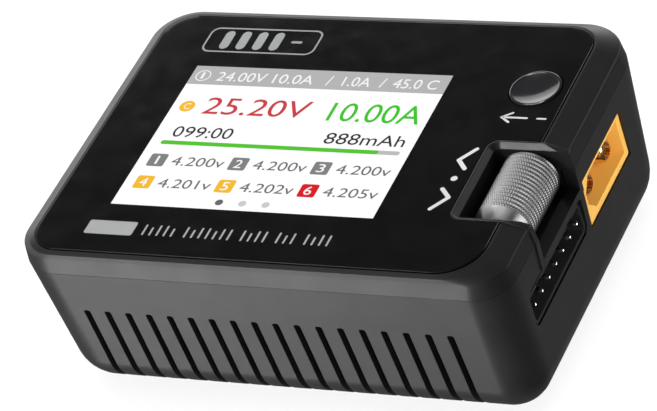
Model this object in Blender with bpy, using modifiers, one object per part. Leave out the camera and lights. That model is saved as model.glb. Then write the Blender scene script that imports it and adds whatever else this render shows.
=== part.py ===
"""Compact DC balance charger for small battery packs, built piece by piece.

Run with:  blender --background --python part.py

Axes: +X to the output side, +Y to the rear, +Z up.  The origin is the centre of
the footprint, on the surface that the rubber feet stand on.
"""
import math
from collections import namedtuple

import bmesh
import bpy
from mathutils import Matrix, Vector

MM = 0.001
GAP = 0.3 * MM           # clearance between pieces that touch
FINE_GAP = 0.2 * MM      # clearance where the fit is closer

# ---- driving dimensions -------------------------------------------------------
TOP_Z = 29.0 * MM        # face of the front panel above the feet's soles
FOOT_HEIGHT = 0.8 * MM   # underside of the case above the feet's soles
CREASE_Z = TOP_Z - 3.8 * MM     # widest line of the case, where its halves meet
RIM_Z = TOP_Z - 1.2 * MM        # edge between the side band and the sloping border
LIP_Z = TOP_Z - 0.2 * MM        # border's inner edge, just below the panel's face
HALF_LENGTH = 37.6 * MM  # at the crease
HALF_DEPTH = 27.95 * MM
CORNER = 6.5 * MM        # plan corner radius at the crease
SOLE_ROUND = 6.0 * MM    # radius from the walls into the underside
WALL = 1.8 * MM
SIDE_DRAFT = 0.04        # how far the ends and the rear lean in, per unit of depth
FRONT_DRAFT = 0.11       # how far the front leans in, per unit of depth
PANEL_THICK = 1.0 * MM
ROOF_THICK = 1.4 * MM    # plate under the front panel
CORNER_STEPS = 6         # facets in each plan corner
ROUND_STEPS = 4          # facets down the rounded lower edge

Outline = namedtuple("Outline", "left right front back radius")

CREASE = Outline(-HALF_LENGTH, HALF_LENGTH, -HALF_DEPTH, HALF_DEPTH, CORNER)
RIM = Outline(-37.25 * MM, 37.25 * MM, -27.82 * MM, 27.55 * MM, 6.2 * MM)
PANEL = Outline(-34.8 * MM, 33.4 * MM, -27.05 * MM, 25.25 * MM, 4.5 * MM)
LIP_MARGIN = 0.45 * MM   # border's flat edge round the panel; the front edge is wider
LIP_FRONT = -27.7 * MM
PANEL_FLOOR_Z = TOP_Z - PANEL_THICK - GAP
ROOF_Z = PANEL_FLOOR_Z - ROOF_THICK      # underside of the plate under the panel

# screen
SCREEN_X, SCREEN_Y = -5.4 * MM, -1.65 * MM
GLASS_SIZE = Vector((43.8, 33.6, 1.3)) * MM
FRAME_BORDER = 1.2 * MM
FRAME_THICK = 1.8 * MM

# boards
MAIN_BOARD_Z = 11.6 * MM
MAIN_BOARD_THICK = 1.6 * MM
MAIN_TOP_Z = MAIN_BOARD_Z + MAIN_BOARD_THICK
DISPLAY_BOARD_Z = 22.2 * MM
DISPLAY_BOARD_THICK = 1.0 * MM
DISPLAY_TOP_Z = DISPLAY_BOARD_Z + DISPLAY_BOARD_THICK
MAIN_BOARD = Outline(-34.6 * MM, 34.6 * MM, -23.8 * MM, 24.8 * MM, 4.5 * MM)
DISPLAY_BOARD = Outline(-33.6 * MM, 33.6 * MM, -23.6 * MM, 24.0 * MM, 3.5 * MM)
AIR_HOLE_RADIUS = 13.0 * MM    # in the main board, over the fan
PART_BASE_Z = MAIN_TOP_Z + GAP
RIBBON_HALF_WIDTH = 7.0 * MM

# parts on the main board: sizes and the places of their middles
TRANSISTOR_SIZE = Vector((4.5, 5.0, 1.3)) * MM
TRANSISTOR_SPOTS = [(x * MM, y * MM) for x in (-13.5, 13.5) for y in (-10.5, 10.5)]
SINK_HALF_X, SINK_HALF_Y = 16.0 * MM, 13.0 * MM
SINK_LOW_Z = PART_BASE_Z + TRANSISTOR_SIZE.z + GAP
SINK_HIGH_Z = 21.0 * MM
SINK_PLATE = 1.6 * MM
SINK_FINS = 8
SINK_FIN = 1.73 * MM           # thickness of one fin
INDUCTOR_SIZE = Vector((10.0, 8.4, 6.6)) * MM
INDUCTOR_X, INDUCTOR_Y = 10.0 * MM, -18.8 * MM
CAPACITOR_RADIUS, CAPACITOR_HEIGHT = 3.15 * MM, 7.7 * MM
CAPACITOR_SPOTS = [(x * MM, INDUCTOR_Y) for x in (-15.0, -7.0, 0.5)]
BUZZER_RADIUS, BUZZER_HEIGHT = 4.5 * MM, 5.0 * MM
BUZZER_X, BUZZER_Y = -15.0 * MM, 18.7 * MM
LINK_X = (-6.0 * MM, 14.0 * MM)
LINK_Y = (20.0 * MM, 23.0 * MM)

# case screws, which run up from the underside into the upper half's posts
SCREW_Y = 18.9 * MM
SCREW_SPOTS = [(x, y) for x in (-31.0 * MM, 21.0 * MM) for y in (-SCREW_Y, SCREW_Y)]
SCREW_RADIUS = 0.75 * MM
SCREW_HEAD_RADIUS = 1.8 * MM
SCREW_TIP_Z = 20.0 * MM
SEAT_Z = 3.0 * MM            # face that the screw heads pull against
POST_RADIUS = 1.9 * MM
BOSS_RADIUS = 2.5 * MM
BOSS_BORE = 1.3 * MM
PILLAR_RADIUS = 1.8 * MM
PILLAR_SPOTS = [(x * MM, y * MM) for x in (-26.0, 26.0) for y in (-10.0, 10.0)]
FOOT_RADIUS = 3.5 * MM
FOOT_SPOTS = [(x * MM, y * MM) for x in (-24.0, 24.0) for y in (-14.0, 14.0)]

# ventilation
SLOT_COUNT = 18
SLOT_PITCH = 3.3 * MM
SLOT_WIDTH = 1.0 * MM
SLOT_FIRST_X = -28.6 * MM
SLOT_TOP_Z = TOP_Z - 11.1 * MM
SLOT_INNER_Y = 21.5 * MM      # how far the slots run under the rounded lower edge
FAN_SIZE = 30.0 * MM
FAN_THICK = 7.0 * MM
FAN_Z = FOOT_HEIGHT + WALL + GAP
FAN_BORE = 14.2 * MM
HUB_RADIUS = 6.5 * MM
STRUT_HALF_WIDTH = 0.9 * MM
MOTOR_PLATE = 1.0 * MM
FAN_HOLE_INSET, FAN_HOLE_RADIUS = 2.6 * MM, 1.3 * MM
FAN_BLADES = 7
BLADE_PITCH = math.radians(38)
BLADE_HALF_THICK = 0.4 * MM
PLUG_LOW = Vector((22.0, 4.0, 8.6)) * MM
PLUG_SIZE = Vector((2.4, 5.0)) * MM
LEAD_RADIUS = 0.6 * MM

# exit button
BUTTON_X, BUTTON_Y = 28.4 * MM, 11.5 * MM
BUTTON_RADIUS = 3.8 * MM
BUTTON_PROUD = 0.25 * MM
BUTTON_DISH = 0.5 * MM         # depth of the hollow in the button's face
BUTTON_LIP = 0.5 * MM          # width of the raised edge round it
BUTTON_FLANGE_Z = 25.5 * MM
BUTTON_FLANGE = 0.8 * MM       # how far the flange stands out below the roof
EXIT_SWITCH_HALF, EXIT_SWITCH_HEIGHT = 2.6 * MM, 1.2 * MM
EXIT_PLUNGER_RADIUS = 1.1 * MM

# selector roller, whose axis lies along Y
ROLLER_X = 31.8 * MM
ROLLER_Z = TOP_Z - 4.0 * MM
ROLLER_RADIUS = 4.1 * MM
ROLLER_FRONT, ROLLER_BACK = -14.7 * MM, -1.0 * MM
ROLLER_CONE = 1.0 * MM         # length of the plain cone at each end
ROLLER_TAPER = 0.9 * MM        # how much the cone narrows
SLEEVE_WALL = 1.3 * MM
AXLE_RADIUS = 0.8 * MM
BEARING_RADIUS = AXLE_RADIUS + GAP
AXLE_FRONT, AXLE_BACK = -17.4 * MM, 1.9 * MM
PRESS_TRAVEL = 0.5 * MM
POCKET_LEFT = ROLLER_X - ROLLER_RADIUS - 0.95 * MM   # inside faces of the roller's pocket
POCKET_FRONT, POCKET_BACK = ROLLER_FRONT - 0.35 * MM, ROLLER_BACK + 0.4 * MM
POCKET_RIM = 1.05 * MM
POCKET_BLOCK_X = 35.2 * MM     # right end of the walls round the pocket
POCKET_BASE = 0.5 * MM         # thickness of the pocket's floor
POCKET_FLOOR = 20.6 * MM
POCKET_SILL = TOP_Z - 7.3 * MM  # lower edge of the pocket's mouth in the end wall

# yoke that carries the axle, and the switch that it presses
YOKE_Z = (23.9 * MM, 26.0 * MM)
YOKE_ARM = 0.6 * MM
YOKE_PLATE = 0.8 * MM
YOKE_FRONT, YOKE_BACK = -16.9 * MM, 1.5 * MM
YOKE_LEFT, YOKE_RIGHT = 23.4 * MM, 33.0 * MM
ENCODER_SIZE = Vector((4.6, 8.0, 2.5)) * MM
ROLLER_SWITCH_X, ROLLER_SWITCH_Y, ROLLER_SWITCH_Z = 20.5 * MM, -8.0 * MM, 24.8 * MM
ROLLER_PLUNGER_RADIUS = 0.8 * MM
ROLLER_PLUNGER_LEFT = 21.4 * MM
OPENING_X = 34.0 * MM          # inside the end walls, where their cutters start
BEYOND_X = 40.0 * MM           # past the case's ends, where cutters stop

# connectors: y range, z range and inner end of each body
CASE_GAP = 0.25 * MM           # opening in the case wall around a connector
POWER_Y = (0.75 * MM, 16.55 * MM)
POWER_Z = (13.75 * MM, 21.65 * MM)
POWER_FACE_X = 36.9 * MM
POWER_INNER_X = 21.3 * MM
POWER_CAVITY = 9.4 * MM
POWER_WALL = 1.1 * MM
POWER_PIN_PITCH = 7.2 * MM
POWER_PIN_RADIUS = 1.75 * MM
POWER_PIN_DROP = 0.8 * MM      # how far the contacts' tips stay behind the face
POWER_SLIT_HALF = 0.25 * MM
POWER_SLIT_DEPTH = 7.0 * MM
BALANCE_Y = (-21.0 * MM, -0.8 * MM)
BALANCE_Z = (14.6 * MM, 19.8 * MM)
BALANCE_TOP_Z = 20.45 * MM     # top of the opening in front of the header
BALANCE_FACE_X = 37.0 * MM
BALANCE_INNER_X = 28.8 * MM
BALANCE_WALL = 0.6 * MM
BALANCE_CAVITY = 6.2 * MM
BALANCE_PINS = 7
BALANCE_PITCH = 2.74 * MM
BALANCE_PIN_SIZE = 0.64 * MM
BALANCE_PIN_DROP = 0.15 * MM   # how far the pins' tips stay behind the face
USB_Y = (-13.9 * MM, -0.7 * MM)
USB_Z = (13.5 * MM, 19.3 * MM)
USB_FACE_X = -36.8 * MM
USB_INNER_X = -23.5 * MM
USB_WALL = 0.5 * MM

# colour (linear), roughness, metallic
FINISHES = {
    "case_black": ((0.012, 0.012, 0.013), 0.45, 0.0),
    "panel_gloss": ((0.006, 0.006, 0.007), 0.08, 0.0),
    "screen_glass": ((0.75, 0.77, 0.78), 0.1, 0.0),
    "frame_steel": ((0.55, 0.56, 0.58), 0.35, 1.0),
    "board_green": ((0.02, 0.12, 0.05), 0.5, 0.0),
    "button_gloss": ((0.008, 0.008, 0.009), 0.12, 0.0),
    "switch_black": ((0.02, 0.02, 0.02), 0.5, 0.0),
    "roller_silver": ((0.72, 0.72, 0.73), 0.25, 1.0),
    "spindle_steel": ((0.6, 0.6, 0.6), 0.3, 1.0),
    "connector_yellow": ((0.85, 0.42, 0.06), 0.4, 0.0),
    "contact_gold": ((0.85, 0.6, 0.25), 0.25, 1.0),
    "header_black": ((0.015, 0.015, 0.016), 0.5, 0.0),
    "pin_tin": ((0.7, 0.7, 0.68), 0.3, 1.0),
    "sink_aluminium": ((0.6, 0.61, 0.62), 0.4, 1.0),
    "ferrite_grey": ((0.09, 0.09, 0.1), 0.6, 0.0),
    "foot_rubber": ((0.02, 0.02, 0.02), 0.85, 0.0),
    "screw_black": ((0.05, 0.05, 0.05), 0.35, 1.0),
    "ribbon_amber": ((0.5, 0.22, 0.03), 0.4, 0.0),
}


# ---- scene and shape helpers ---------------------------------------------------
def clear_scene():
    """Remove every object, so that the script can be run again."""
    for item in list(bpy.data.objects):
        bpy.data.objects.remove(item, do_unlink=True)


def make_collection(name):
    """Return a new collection linked to the scene."""
    collection = bpy.data.collections.new(name)
    bpy.context.scene.collection.children.link(collection)
    return collection


def finish(name):
    """Return the Principled BSDF material of one finish."""
    material = bpy.data.materials.get(name)
    if material:
        return material
    colour, roughness, metallic = FINISHES[name]
    material = bpy.data.materials.new(name)
    material.use_nodes = True
    shader = material.node_tree.nodes["Principled BSDF"]
    shader.inputs["Base Color"].default_value = (*colour, 1.0)
    shader.inputs["Roughness"].default_value = roughness
    shader.inputs["Metallic"].default_value = metallic
    return material


def place(name, mesh, look, location=(0.0, 0.0, 0.0), smooth=False):
    """Link a mesh into the charger, or among the cutters if it has no finish."""
    item = bpy.data.objects.new(name, mesh)
    item.location = location
    if look:
        PARTS.objects.link(item)
        mesh.materials.append(finish(look))
    else:
        CUTTERS.objects.link(item)
        item.hide_render = True
        item.display_type = "WIRE"
    if smooth:
        mesh.shade_smooth()
        mesh.set_sharp_from_angle(angle=math.radians(35))
    return item


def mesh_from(bm, name):
    """Turn a bmesh into a mesh and free it."""
    mesh = bpy.data.meshes.new(name)
    bm.to_mesh(mesh)
    bm.free()
    return mesh


def box(name, low, high, look=None, bevel=0.0):
    """Make a box from its low and high corners."""
    low, high = Vector(low), Vector(high)
    bm = bmesh.new()
    bmesh.ops.create_cube(bm, size=1.0, matrix=Matrix.Diagonal((*(high - low), 1.0)))
    item = place(name, mesh_from(bm, name), look, (low + high) / 2)
    if bevel:
        edge = item.modifiers.new("Rounded edges", "BEVEL")
        edge.width = bevel
        edge.segments = 2
    return item


def cylinder(name, radius, low, high, look=None, axis="Z", steps=32):
    """Make a cylinder between the centres of its end faces."""
    low, high = Vector(low), Vector(high)
    turn = {"X": Matrix.Rotation(math.pi / 2, 4, "Y"),
            "Y": Matrix.Rotation(math.pi / 2, 4, "X"),
            "Z": Matrix.Identity(4)}[axis]
    bm = bmesh.new()
    bmesh.ops.create_cone(bm, cap_ends=True, segments=steps, radius1=radius,
                          radius2=radius, depth=(high - low).length, matrix=turn)
    return place(name, mesh_from(bm, name), look, (low + high) / 2, smooth=bool(look))


def turned(name, profile, look, location, closed=False, axis="Z", steps=32):
    """Turn a profile of (radius, height) points, outer side running downwards."""
    bm = bmesh.new()
    points = [bm.verts.new((radius, 0.0, height)) for radius, height in profile]
    pairs = list(zip(points, points[1:]))
    if closed:
        pairs.append((points[-1], points[0]))
    for pair in pairs:
        bm.edges.new(pair)
    item = place(name, mesh_from(bm, name), look, location)
    if axis == "Y":
        item.rotation_euler = (-math.pi / 2, 0.0, 0.0)
    screw = item.modifiers.new("Turn", "SCREW")
    screw.axis = "Z"
    screw.steps = steps
    screw.render_steps = steps
    screw.use_merge_vertices = True
    screw.merge_threshold = 1e-6
    screw.use_smooth_shade = False
    return item


def prism(name, points, low, high, look=None, axis="Z"):
    """Extrude a flat outline along an axis from low to high."""
    spread = {"X": lambda a, b: (low, a, b),
              "Y": lambda a, b: (a, low, b),
              "Z": lambda a, b: (a, b, low)}[axis]
    push = {"X": (high - low, 0, 0), "Y": (0, high - low, 0), "Z": (0, 0, high - low)}[axis]
    bm = bmesh.new()
    base = bm.faces.new([bm.verts.new(spread(a, b)) for a, b in points])
    grown = bmesh.ops.extrude_face_region(bm, geom=[base])
    moved = [item for item in grown["geom"] if isinstance(item, bmesh.types.BMVert)]
    bmesh.ops.translate(bm, verts=moved, vec=push)
    bmesh.ops.recalc_face_normals(bm, faces=bm.faces)
    return place(name, mesh_from(bm, name), look)


def inset(outline, distance):
    """Return an outline moved inwards all round."""
    return Outline(outline.left + distance, outline.right - distance,
                   outline.front + distance, outline.back - distance,
                   max(outline.radius - distance, 0.5 * MM))


def outline_points(outline):
    """List a rounded rectangle's points, anticlockwise from its right side."""
    radius = outline.radius
    centres = [(outline.right - radius, outline.back - radius),
               (outline.left + radius, outline.back - radius),
               (outline.left + radius, outline.front + radius),
               (outline.right - radius, outline.front + radius)]
    points = []
    for quarter, (x, y) in enumerate(centres):
        for step in range(CORNER_STEPS + 1):
            angle = math.pi / 2 * (quarter + step / CORNER_STEPS)
            points.append((x + radius * math.cos(angle), y + radius * math.sin(angle)))
    return points


def loft(name, sections, look=None):
    """Skin a stack of (z, outline) sections, lowest first, into a closed solid."""
    bm = bmesh.new()
    rings = [[bm.verts.new((x, y, z)) for x, y in outline_points(outline)]
             for z, outline in sections]
    for lower, upper in zip(rings, rings[1:]):
        for here in range(len(lower)):
            after = (here + 1) % len(lower)
            bm.faces.new((lower[here], lower[after], upper[after], upper[here]))
    bm.faces.new(reversed(rings[0]))
    bm.faces.new(rings[-1])
    return place(name, mesh_from(bm, name), look)


def boolean(target, tool, operation):
    """Cut or join a tool with a target, keeping the tool as a hidden guide."""
    modifier = target.modifiers.new(tool.name, "BOOLEAN")
    modifier.operation = operation
    modifier.object = tool
    return modifier


def cut(target, *tools):
    """Take each tool out of the target."""
    for tool in tools:
        boolean(target, tool, "DIFFERENCE")


def join(target, *tools):
    """Fuse each tool with the target."""
    for tool in tools:
        boolean(target, tool, "UNION")


def repeat(item, count, step):
    """Repeat a cutter along X."""
    array = item.modifiers.new("Row", "ARRAY")
    array.count = count
    array.use_relative_offset = False
    array.use_constant_offset = True
    array.constant_offset_displace = (step, 0.0, 0.0)
    return item


# ---- case ------------------------------------------------------------------------
def wall_outline(z, distance):
    """Return the case's outline below the crease, moved inwards by a distance."""
    depth = CREASE_Z - z
    leaning = Outline(CREASE.left + SIDE_DRAFT * depth, CREASE.right - SIDE_DRAFT * depth,
                      CREASE.front + FRONT_DRAFT * depth, CREASE.back - SIDE_DRAFT * depth,
                      CREASE.radius)
    return inset(leaning, distance)


def tub_sections(thickness, top_z):
    """List the lower case's sections: the rounded lower edge, then the wall's top."""
    floor_z = FOOT_HEIGHT + thickness
    radius = SOLE_ROUND - thickness
    sections = []
    for step in range(ROUND_STEPS + 1):
        angle = math.pi / 2 * (1 - step / ROUND_STEPS)
        z = floor_z + radius * (1 - math.sin(angle))
        sections.append((z, wall_outline(z, thickness + radius * (1 - math.cos(angle)))))
    sections.append((top_z, wall_outline(top_z, thickness)))
    return sections


def case_openings():
    """List cutters for the connectors' openings in the end walls."""
    openings = []
    right, left = (OPENING_X, BEYOND_X), (-BEYOND_X, -OPENING_X)
    for name, y_range, z_range, x_range in (
            ("output_opening", POWER_Y, POWER_Z, right),
            ("input_opening", POWER_Y, POWER_Z, left),
            ("balance_opening", BALANCE_Y, (BALANCE_Z[0], BALANCE_TOP_Z), right),
            ("usb_opening", USB_Y, USB_Z, left)):
        low = (x_range[0], y_range[0] - CASE_GAP, z_range[0] - CASE_GAP)
        high = (x_range[1], y_range[1] + CASE_GAP, z_range[1] + CASE_GAP)
        openings.append(box(name, low, high))
    return openings


def vent_slots(name, inner_y, outer_y):
    """Make the row of slot cutters for the front or the rear wall."""
    low_y, high_y = min(inner_y, outer_y), max(inner_y, outer_y)
    low = (SLOT_FIRST_X - SLOT_WIDTH / 2, low_y, -FOOT_HEIGHT)
    high = (SLOT_FIRST_X + SLOT_WIDTH / 2, high_y, SLOT_TOP_Z)
    return repeat(box(name, low, high), SLOT_COUNT, SLOT_PITCH)


def grille_slots():
    """Make the slots under the fan, each as long as the fan's bore is wide there."""
    width, pitch, reach = 1.6 * MM, 2.8 * MM, FAN_BORE - 1.5 * MM
    slots = []
    for row in range(-4, 5):
        y = row * pitch
        half = math.sqrt(reach ** 2 - y ** 2)
        slots.append(box(f"grille_slot_{row + 5}", (-half, y - width / 2, 0.0),
                         (half, y + width / 2, FAN_Z)))
    return slots


def build_lower_housing():
    """Make the vented tub that holds the main board, the fan and the connectors."""
    seam_z = CREASE_Z - GAP
    housing = loft("lower_housing", tub_sections(0.0, seam_z), "case_black")
    cut(housing, loft("tub_cavity", tub_sections(WALL, CREASE_Z + MM)))
    for number, (x, y) in enumerate(SCREW_SPOTS, 1):
        boss_top = MAIN_BOARD_Z - GAP
        boss = cylinder(f"boss_{number}", BOSS_RADIUS, (x, y, FOOT_HEIGHT + MM), (x, y, boss_top))
        join(housing, boss)
    for number, (x, y) in enumerate(PILLAR_SPOTS, 1):
        low, high = (x, y, FOOT_HEIGHT + MM), (x, y, MAIN_BOARD_Z - GAP)
        join(housing, cylinder(f"board_pillar_{number}", PILLAR_RADIUS, low, high, steps=16))
    cut(housing, vent_slots("front_slots", -SLOT_INNER_Y, -HALF_DEPTH - MM))
    cut(housing, vent_slots("rear_slots", SLOT_INNER_Y, HALF_DEPTH + MM))
    cut(housing, *case_openings(), *grille_slots())
    mouth = box("pocket_mouth", (34 * MM, POCKET_FRONT, POCKET_SILL),
                (BEYOND_X, POCKET_BACK, CREASE_Z + MM))
    cut(housing, mouth)
    for number, (x, y) in enumerate(SCREW_SPOTS, 1):
        bore = cylinder(f"boss_bore_{number}", BOSS_BORE, (x, y, 0.0), (x, y, MAIN_BOARD_Z),
                        steps=24)
        seat = cylinder(f"head_seat_{number}", SCREW_HEAD_RADIUS + GAP, (x, y, 0.0),
                        (x, y, SEAT_Z), steps=24)
        cut(housing, bore, seat)


def panel_prism(name, margin, low, high, look=None):
    """Make the front panel's shape, grown by a margin, with the roller's notch."""
    shape = inset(PANEL, -margin)
    panel = loft(name, [(low, shape), (high, shape)], look)
    notch_left = POCKET_LEFT - POCKET_RIM - FINE_GAP + margin
    notch = box(f"{name}_notch",
                (notch_left, POCKET_FRONT - POCKET_RIM - FINE_GAP + margin, low - MM),
                (BEYOND_X, POCKET_BACK + POCKET_RIM + FINE_GAP - margin, high + MM))
    cut(panel, notch)
    return panel


def build_front_panel():
    """Make the glossy panel, cut out for the roller and the exit button."""
    panel = panel_prism("front_panel", 0.0, TOP_Z - PANEL_THICK, TOP_Z, "panel_gloss")
    hole = cylinder("panel_button_hole", BUTTON_RADIUS + FINE_GAP,
                    (BUTTON_X, BUTTON_Y, ROOF_Z), (BUTTON_X, BUTTON_Y, TOP_Z + MM), steps=40)
    cut(panel, hole)


def upper_cavity():
    """Make the upper case's inside, open at the crease."""
    ceiling = inset(RIM, WALL)
    return loft("upper_cavity", [(CREASE_Z - MM, inset(CREASE, WALL)), (ROOF_Z, ceiling)])


def alignment_lip():
    """Make the thin lip that drops inside the lower case."""
    low, high = CREASE_Z - 1.5 * MM, CREASE_Z + 0.8 * MM
    outer = inset(CREASE, WALL + GAP + FINE_GAP)
    lip = loft("lip_outer", [(low, outer), (CREASE_Z, outer), (high, inset(CREASE, WALL - GAP))])
    inner = inset(CREASE, WALL + 1.5 * MM)
    cut(lip, loft("lip_inner", [(low - MM, inner), (high + MM, inner)]))
    return lip


def roller_pocket_walls():
    """Make the block that the roller's pocket is cut from."""
    return box("pocket_block",
               (POCKET_LEFT - POCKET_RIM, POCKET_FRONT - POCKET_RIM,
                POCKET_FLOOR - POCKET_BASE),
               (POCKET_BLOCK_X, POCKET_BACK + POCKET_RIM, ROOF_Z + 0.5 * MM))


def build_upper_housing():
    """Make the upper case: sloping border, panel seat, roller pocket and posts."""
    lip_outline = inset(PANEL, -LIP_MARGIN)._replace(front=LIP_FRONT)
    housing = loft("upper_housing", [(CREASE_Z, CREASE), (RIM_Z, RIM), (LIP_Z, lip_outline)],
                   "case_black")
    cut(housing, upper_cavity())
    join(housing, alignment_lip(), roller_pocket_walls())
    for number, (x, y) in enumerate(SCREW_SPOTS, 1):
        join(housing, cylinder(f"post_{number}", POST_RADIUS, (x, y, MAIN_TOP_Z + GAP),
                               (x, y, ROOF_Z + 0.5 * MM), steps=24))
    cut(housing, panel_prism("panel_seat", FINE_GAP, PANEL_FLOOR_Z, TOP_Z + MM))
    window = GLASS_SIZE / 2 + Vector((GAP, GAP, 0.0))
    cut(housing, box("screen_window",
                     (SCREEN_X - window.x, SCREEN_Y - window.y, ROOF_Z - MM),
                     (SCREEN_X + window.x, SCREEN_Y + window.y, TOP_Z)))
    cut(housing, cylinder("roof_button_hole", BUTTON_RADIUS + FINE_GAP,
                          (BUTTON_X, BUTTON_Y, ROOF_Z - MM), (BUTTON_X, BUTTON_Y, TOP_Z),
                          steps=40))
    cut(housing, box("pocket_space", (POCKET_LEFT, POCKET_FRONT, POCKET_FLOOR),
                     (BEYOND_X, POCKET_BACK, TOP_Z + MM)))
    half = AXLE_RADIUS + GAP
    cut(housing, box("axle_slot", (ROLLER_X - half - PRESS_TRAVEL,
                                   POCKET_FRONT - 2 * MM, ROLLER_Z - half),
                     (ROLLER_X + half, POCKET_BACK + 2 * MM, ROLLER_Z + half)))
    for number, (x, y) in enumerate(SCREW_SPOTS, 1):
        cut(housing, cylinder(f"post_bore_{number}", SCREW_RADIUS + GAP, (x, y, 0.0),
                              (x, y, SCREW_TIP_Z + 2 * MM), steps=16))


def build_feet_and_screws():
    """Make the four rubber feet and the four long case screws."""
    thick, edge = FOOT_HEIGHT - GAP, 0.2 * MM
    foot = [(0.0, thick), (FOOT_RADIUS, thick), (FOOT_RADIUS, edge), (FOOT_RADIUS - edge, 0.0),
            (0.0, 0.0)]
    for number, (x, y) in enumerate(FOOT_SPOTS, 1):
        turned(f"rubber_foot_{number}", foot, "foot_rubber", (x, y, 0.0), steps=24)
    head_low, head_high = FOOT_HEIGHT + 0.4 * MM, SEAT_Z - GAP
    screw = [(0.0, SCREW_TIP_Z), (SCREW_RADIUS, SCREW_TIP_Z - 0.4 * MM),
             (SCREW_RADIUS, head_high), (SCREW_HEAD_RADIUS, head_high),
             (SCREW_HEAD_RADIUS, head_low + edge), (SCREW_HEAD_RADIUS - edge, head_low),
             (0.0, head_low)]
    for number, (x, y) in enumerate(SCREW_SPOTS, 1):
        turned(f"case_screw_{number}", screw, "screw_black", (x, y, 0.0), steps=16)


# ---- screen and boards -------------------------------------------------------------
def build_screen():
    """Make the display's glass, its metal frame and its ribbon."""
    half = GLASS_SIZE / 2
    glass_low = ROOF_Z
    box("screen_glass", (SCREEN_X - half.x, SCREEN_Y - half.y, glass_low),
        (SCREEN_X + half.x, SCREEN_Y + half.y, glass_low + GLASS_SIZE.z), "screen_glass")
    frame_high = glass_low - GAP
    reach_x, reach_y = half.x + FRAME_BORDER, half.y + FRAME_BORDER
    box("screen_frame", (SCREEN_X - reach_x, SCREEN_Y - reach_y, frame_high - FRAME_THICK),
        (SCREEN_X + reach_x, SCREEN_Y + reach_y, frame_high), "frame_steel", 0.3 * MM)
    left = SCREEN_X - reach_x
    ribbon_z = frame_high - 0.9 * MM
    thick = 0.25 * MM
    points = [(left - GAP, ribbon_z), (left - 1.6 * MM, ribbon_z),
              (left - 2.0 * MM, DISPLAY_TOP_Z + GAP), (left + 1.2 * MM, DISPLAY_TOP_Z + GAP),
              (left + 1.2 * MM, DISPLAY_TOP_Z + GAP + thick),
              (left - 1.65 * MM, DISPLAY_TOP_Z + GAP + thick),
              (left - 1.35 * MM, ribbon_z - thick), (left - GAP, ribbon_z - thick)]
    prism("screen_ribbon", points, SCREEN_Y - RIBBON_HALF_WIDTH,
          SCREEN_Y + RIBBON_HALF_WIDTH, "ribbon_amber", "Y")


def build_display_board():
    """Make the board under the screen, notched round the roller's pocket."""
    board = loft("display_board", [(DISPLAY_BOARD_Z, DISPLAY_BOARD),
                                   (DISPLAY_TOP_Z, DISPLAY_BOARD)], "board_green")
    margin = POCKET_RIM + GAP
    low, high = DISPLAY_BOARD_Z - MM, DISPLAY_TOP_Z + MM
    cut(board, box("board_notch", (POCKET_LEFT - margin, POCKET_FRONT - margin, low),
                   (BEYOND_X, POCKET_BACK + margin, high)))
    for number, (x, y) in enumerate(SCREW_SPOTS, 1):
        cut(board, cylinder(f"display_hole_{number}", POST_RADIUS + GAP, (x, y, low),
                            (x, y, high), steps=24))


def build_main_board():
    """Make the power board, open over the fan."""
    board = loft("main_board", [(MAIN_BOARD_Z, MAIN_BOARD), (MAIN_TOP_Z, MAIN_BOARD)],
                 "board_green")
    cut(board, cylinder("board_air_hole", AIR_HOLE_RADIUS, (0, 0, MAIN_BOARD_Z - MM),
                        (0, 0, MAIN_TOP_Z + MM), steps=40))
    for number, (x, y) in enumerate(SCREW_SPOTS, 1):
        cut(board, cylinder(f"main_hole_{number}", BOSS_BORE, (x, y, MAIN_BOARD_Z - MM),
                            (x, y, MAIN_TOP_Z + MM), steps=16))


def build_board_parts():
    """Make the parts on the main board."""
    half = TRANSISTOR_SIZE / 2
    for number, (x, y) in enumerate(TRANSISTOR_SPOTS, 1):
        centre = Vector((x, y, PART_BASE_Z + half.z))
        box(f"transistor_{number}", centre - half, centre + half, "switch_black")
    sink = box("heat_sink", (-SINK_HALF_X, -SINK_HALF_Y, SINK_LOW_Z),
               (SINK_HALF_X, SINK_HALF_Y, SINK_HIGH_Z), "sink_aluminium")
    pitch = (2 * SINK_HALF_X - SINK_FIN) / (SINK_FINS - 1)
    start = -SINK_HALF_X + SINK_FIN
    channel = box("sink_channel", (start, -SINK_HALF_Y - MM, SINK_LOW_Z + SINK_PLATE),
                  (start + pitch - SINK_FIN, SINK_HALF_Y + MM, SINK_HIGH_Z + MM))
    cut(sink, repeat(channel, SINK_FINS - 1, pitch))
    half = INDUCTOR_SIZE / 2
    centre = Vector((INDUCTOR_X, INDUCTOR_Y, PART_BASE_Z + half.z))
    box("inductor", centre - half, centre + half, "ferrite_grey", 0.8 * MM)
    for number, (x, y) in enumerate(CAPACITOR_SPOTS, 1):
        cylinder(f"capacitor_{number}", CAPACITOR_RADIUS, (x, y, PART_BASE_Z),
                 (x, y, PART_BASE_Z + CAPACITOR_HEIGHT), "sink_aluminium", steps=24)
    cylinder("buzzer", BUZZER_RADIUS, (BUZZER_X, BUZZER_Y, PART_BASE_Z),
             (BUZZER_X, BUZZER_Y, PART_BASE_Z + BUZZER_HEIGHT), "switch_black", steps=32)
    box("board_link", (LINK_X[0], LINK_Y[0], PART_BASE_Z),
        (LINK_X[1], LINK_Y[1], DISPLAY_BOARD_Z - GAP), "header_black")


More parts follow.
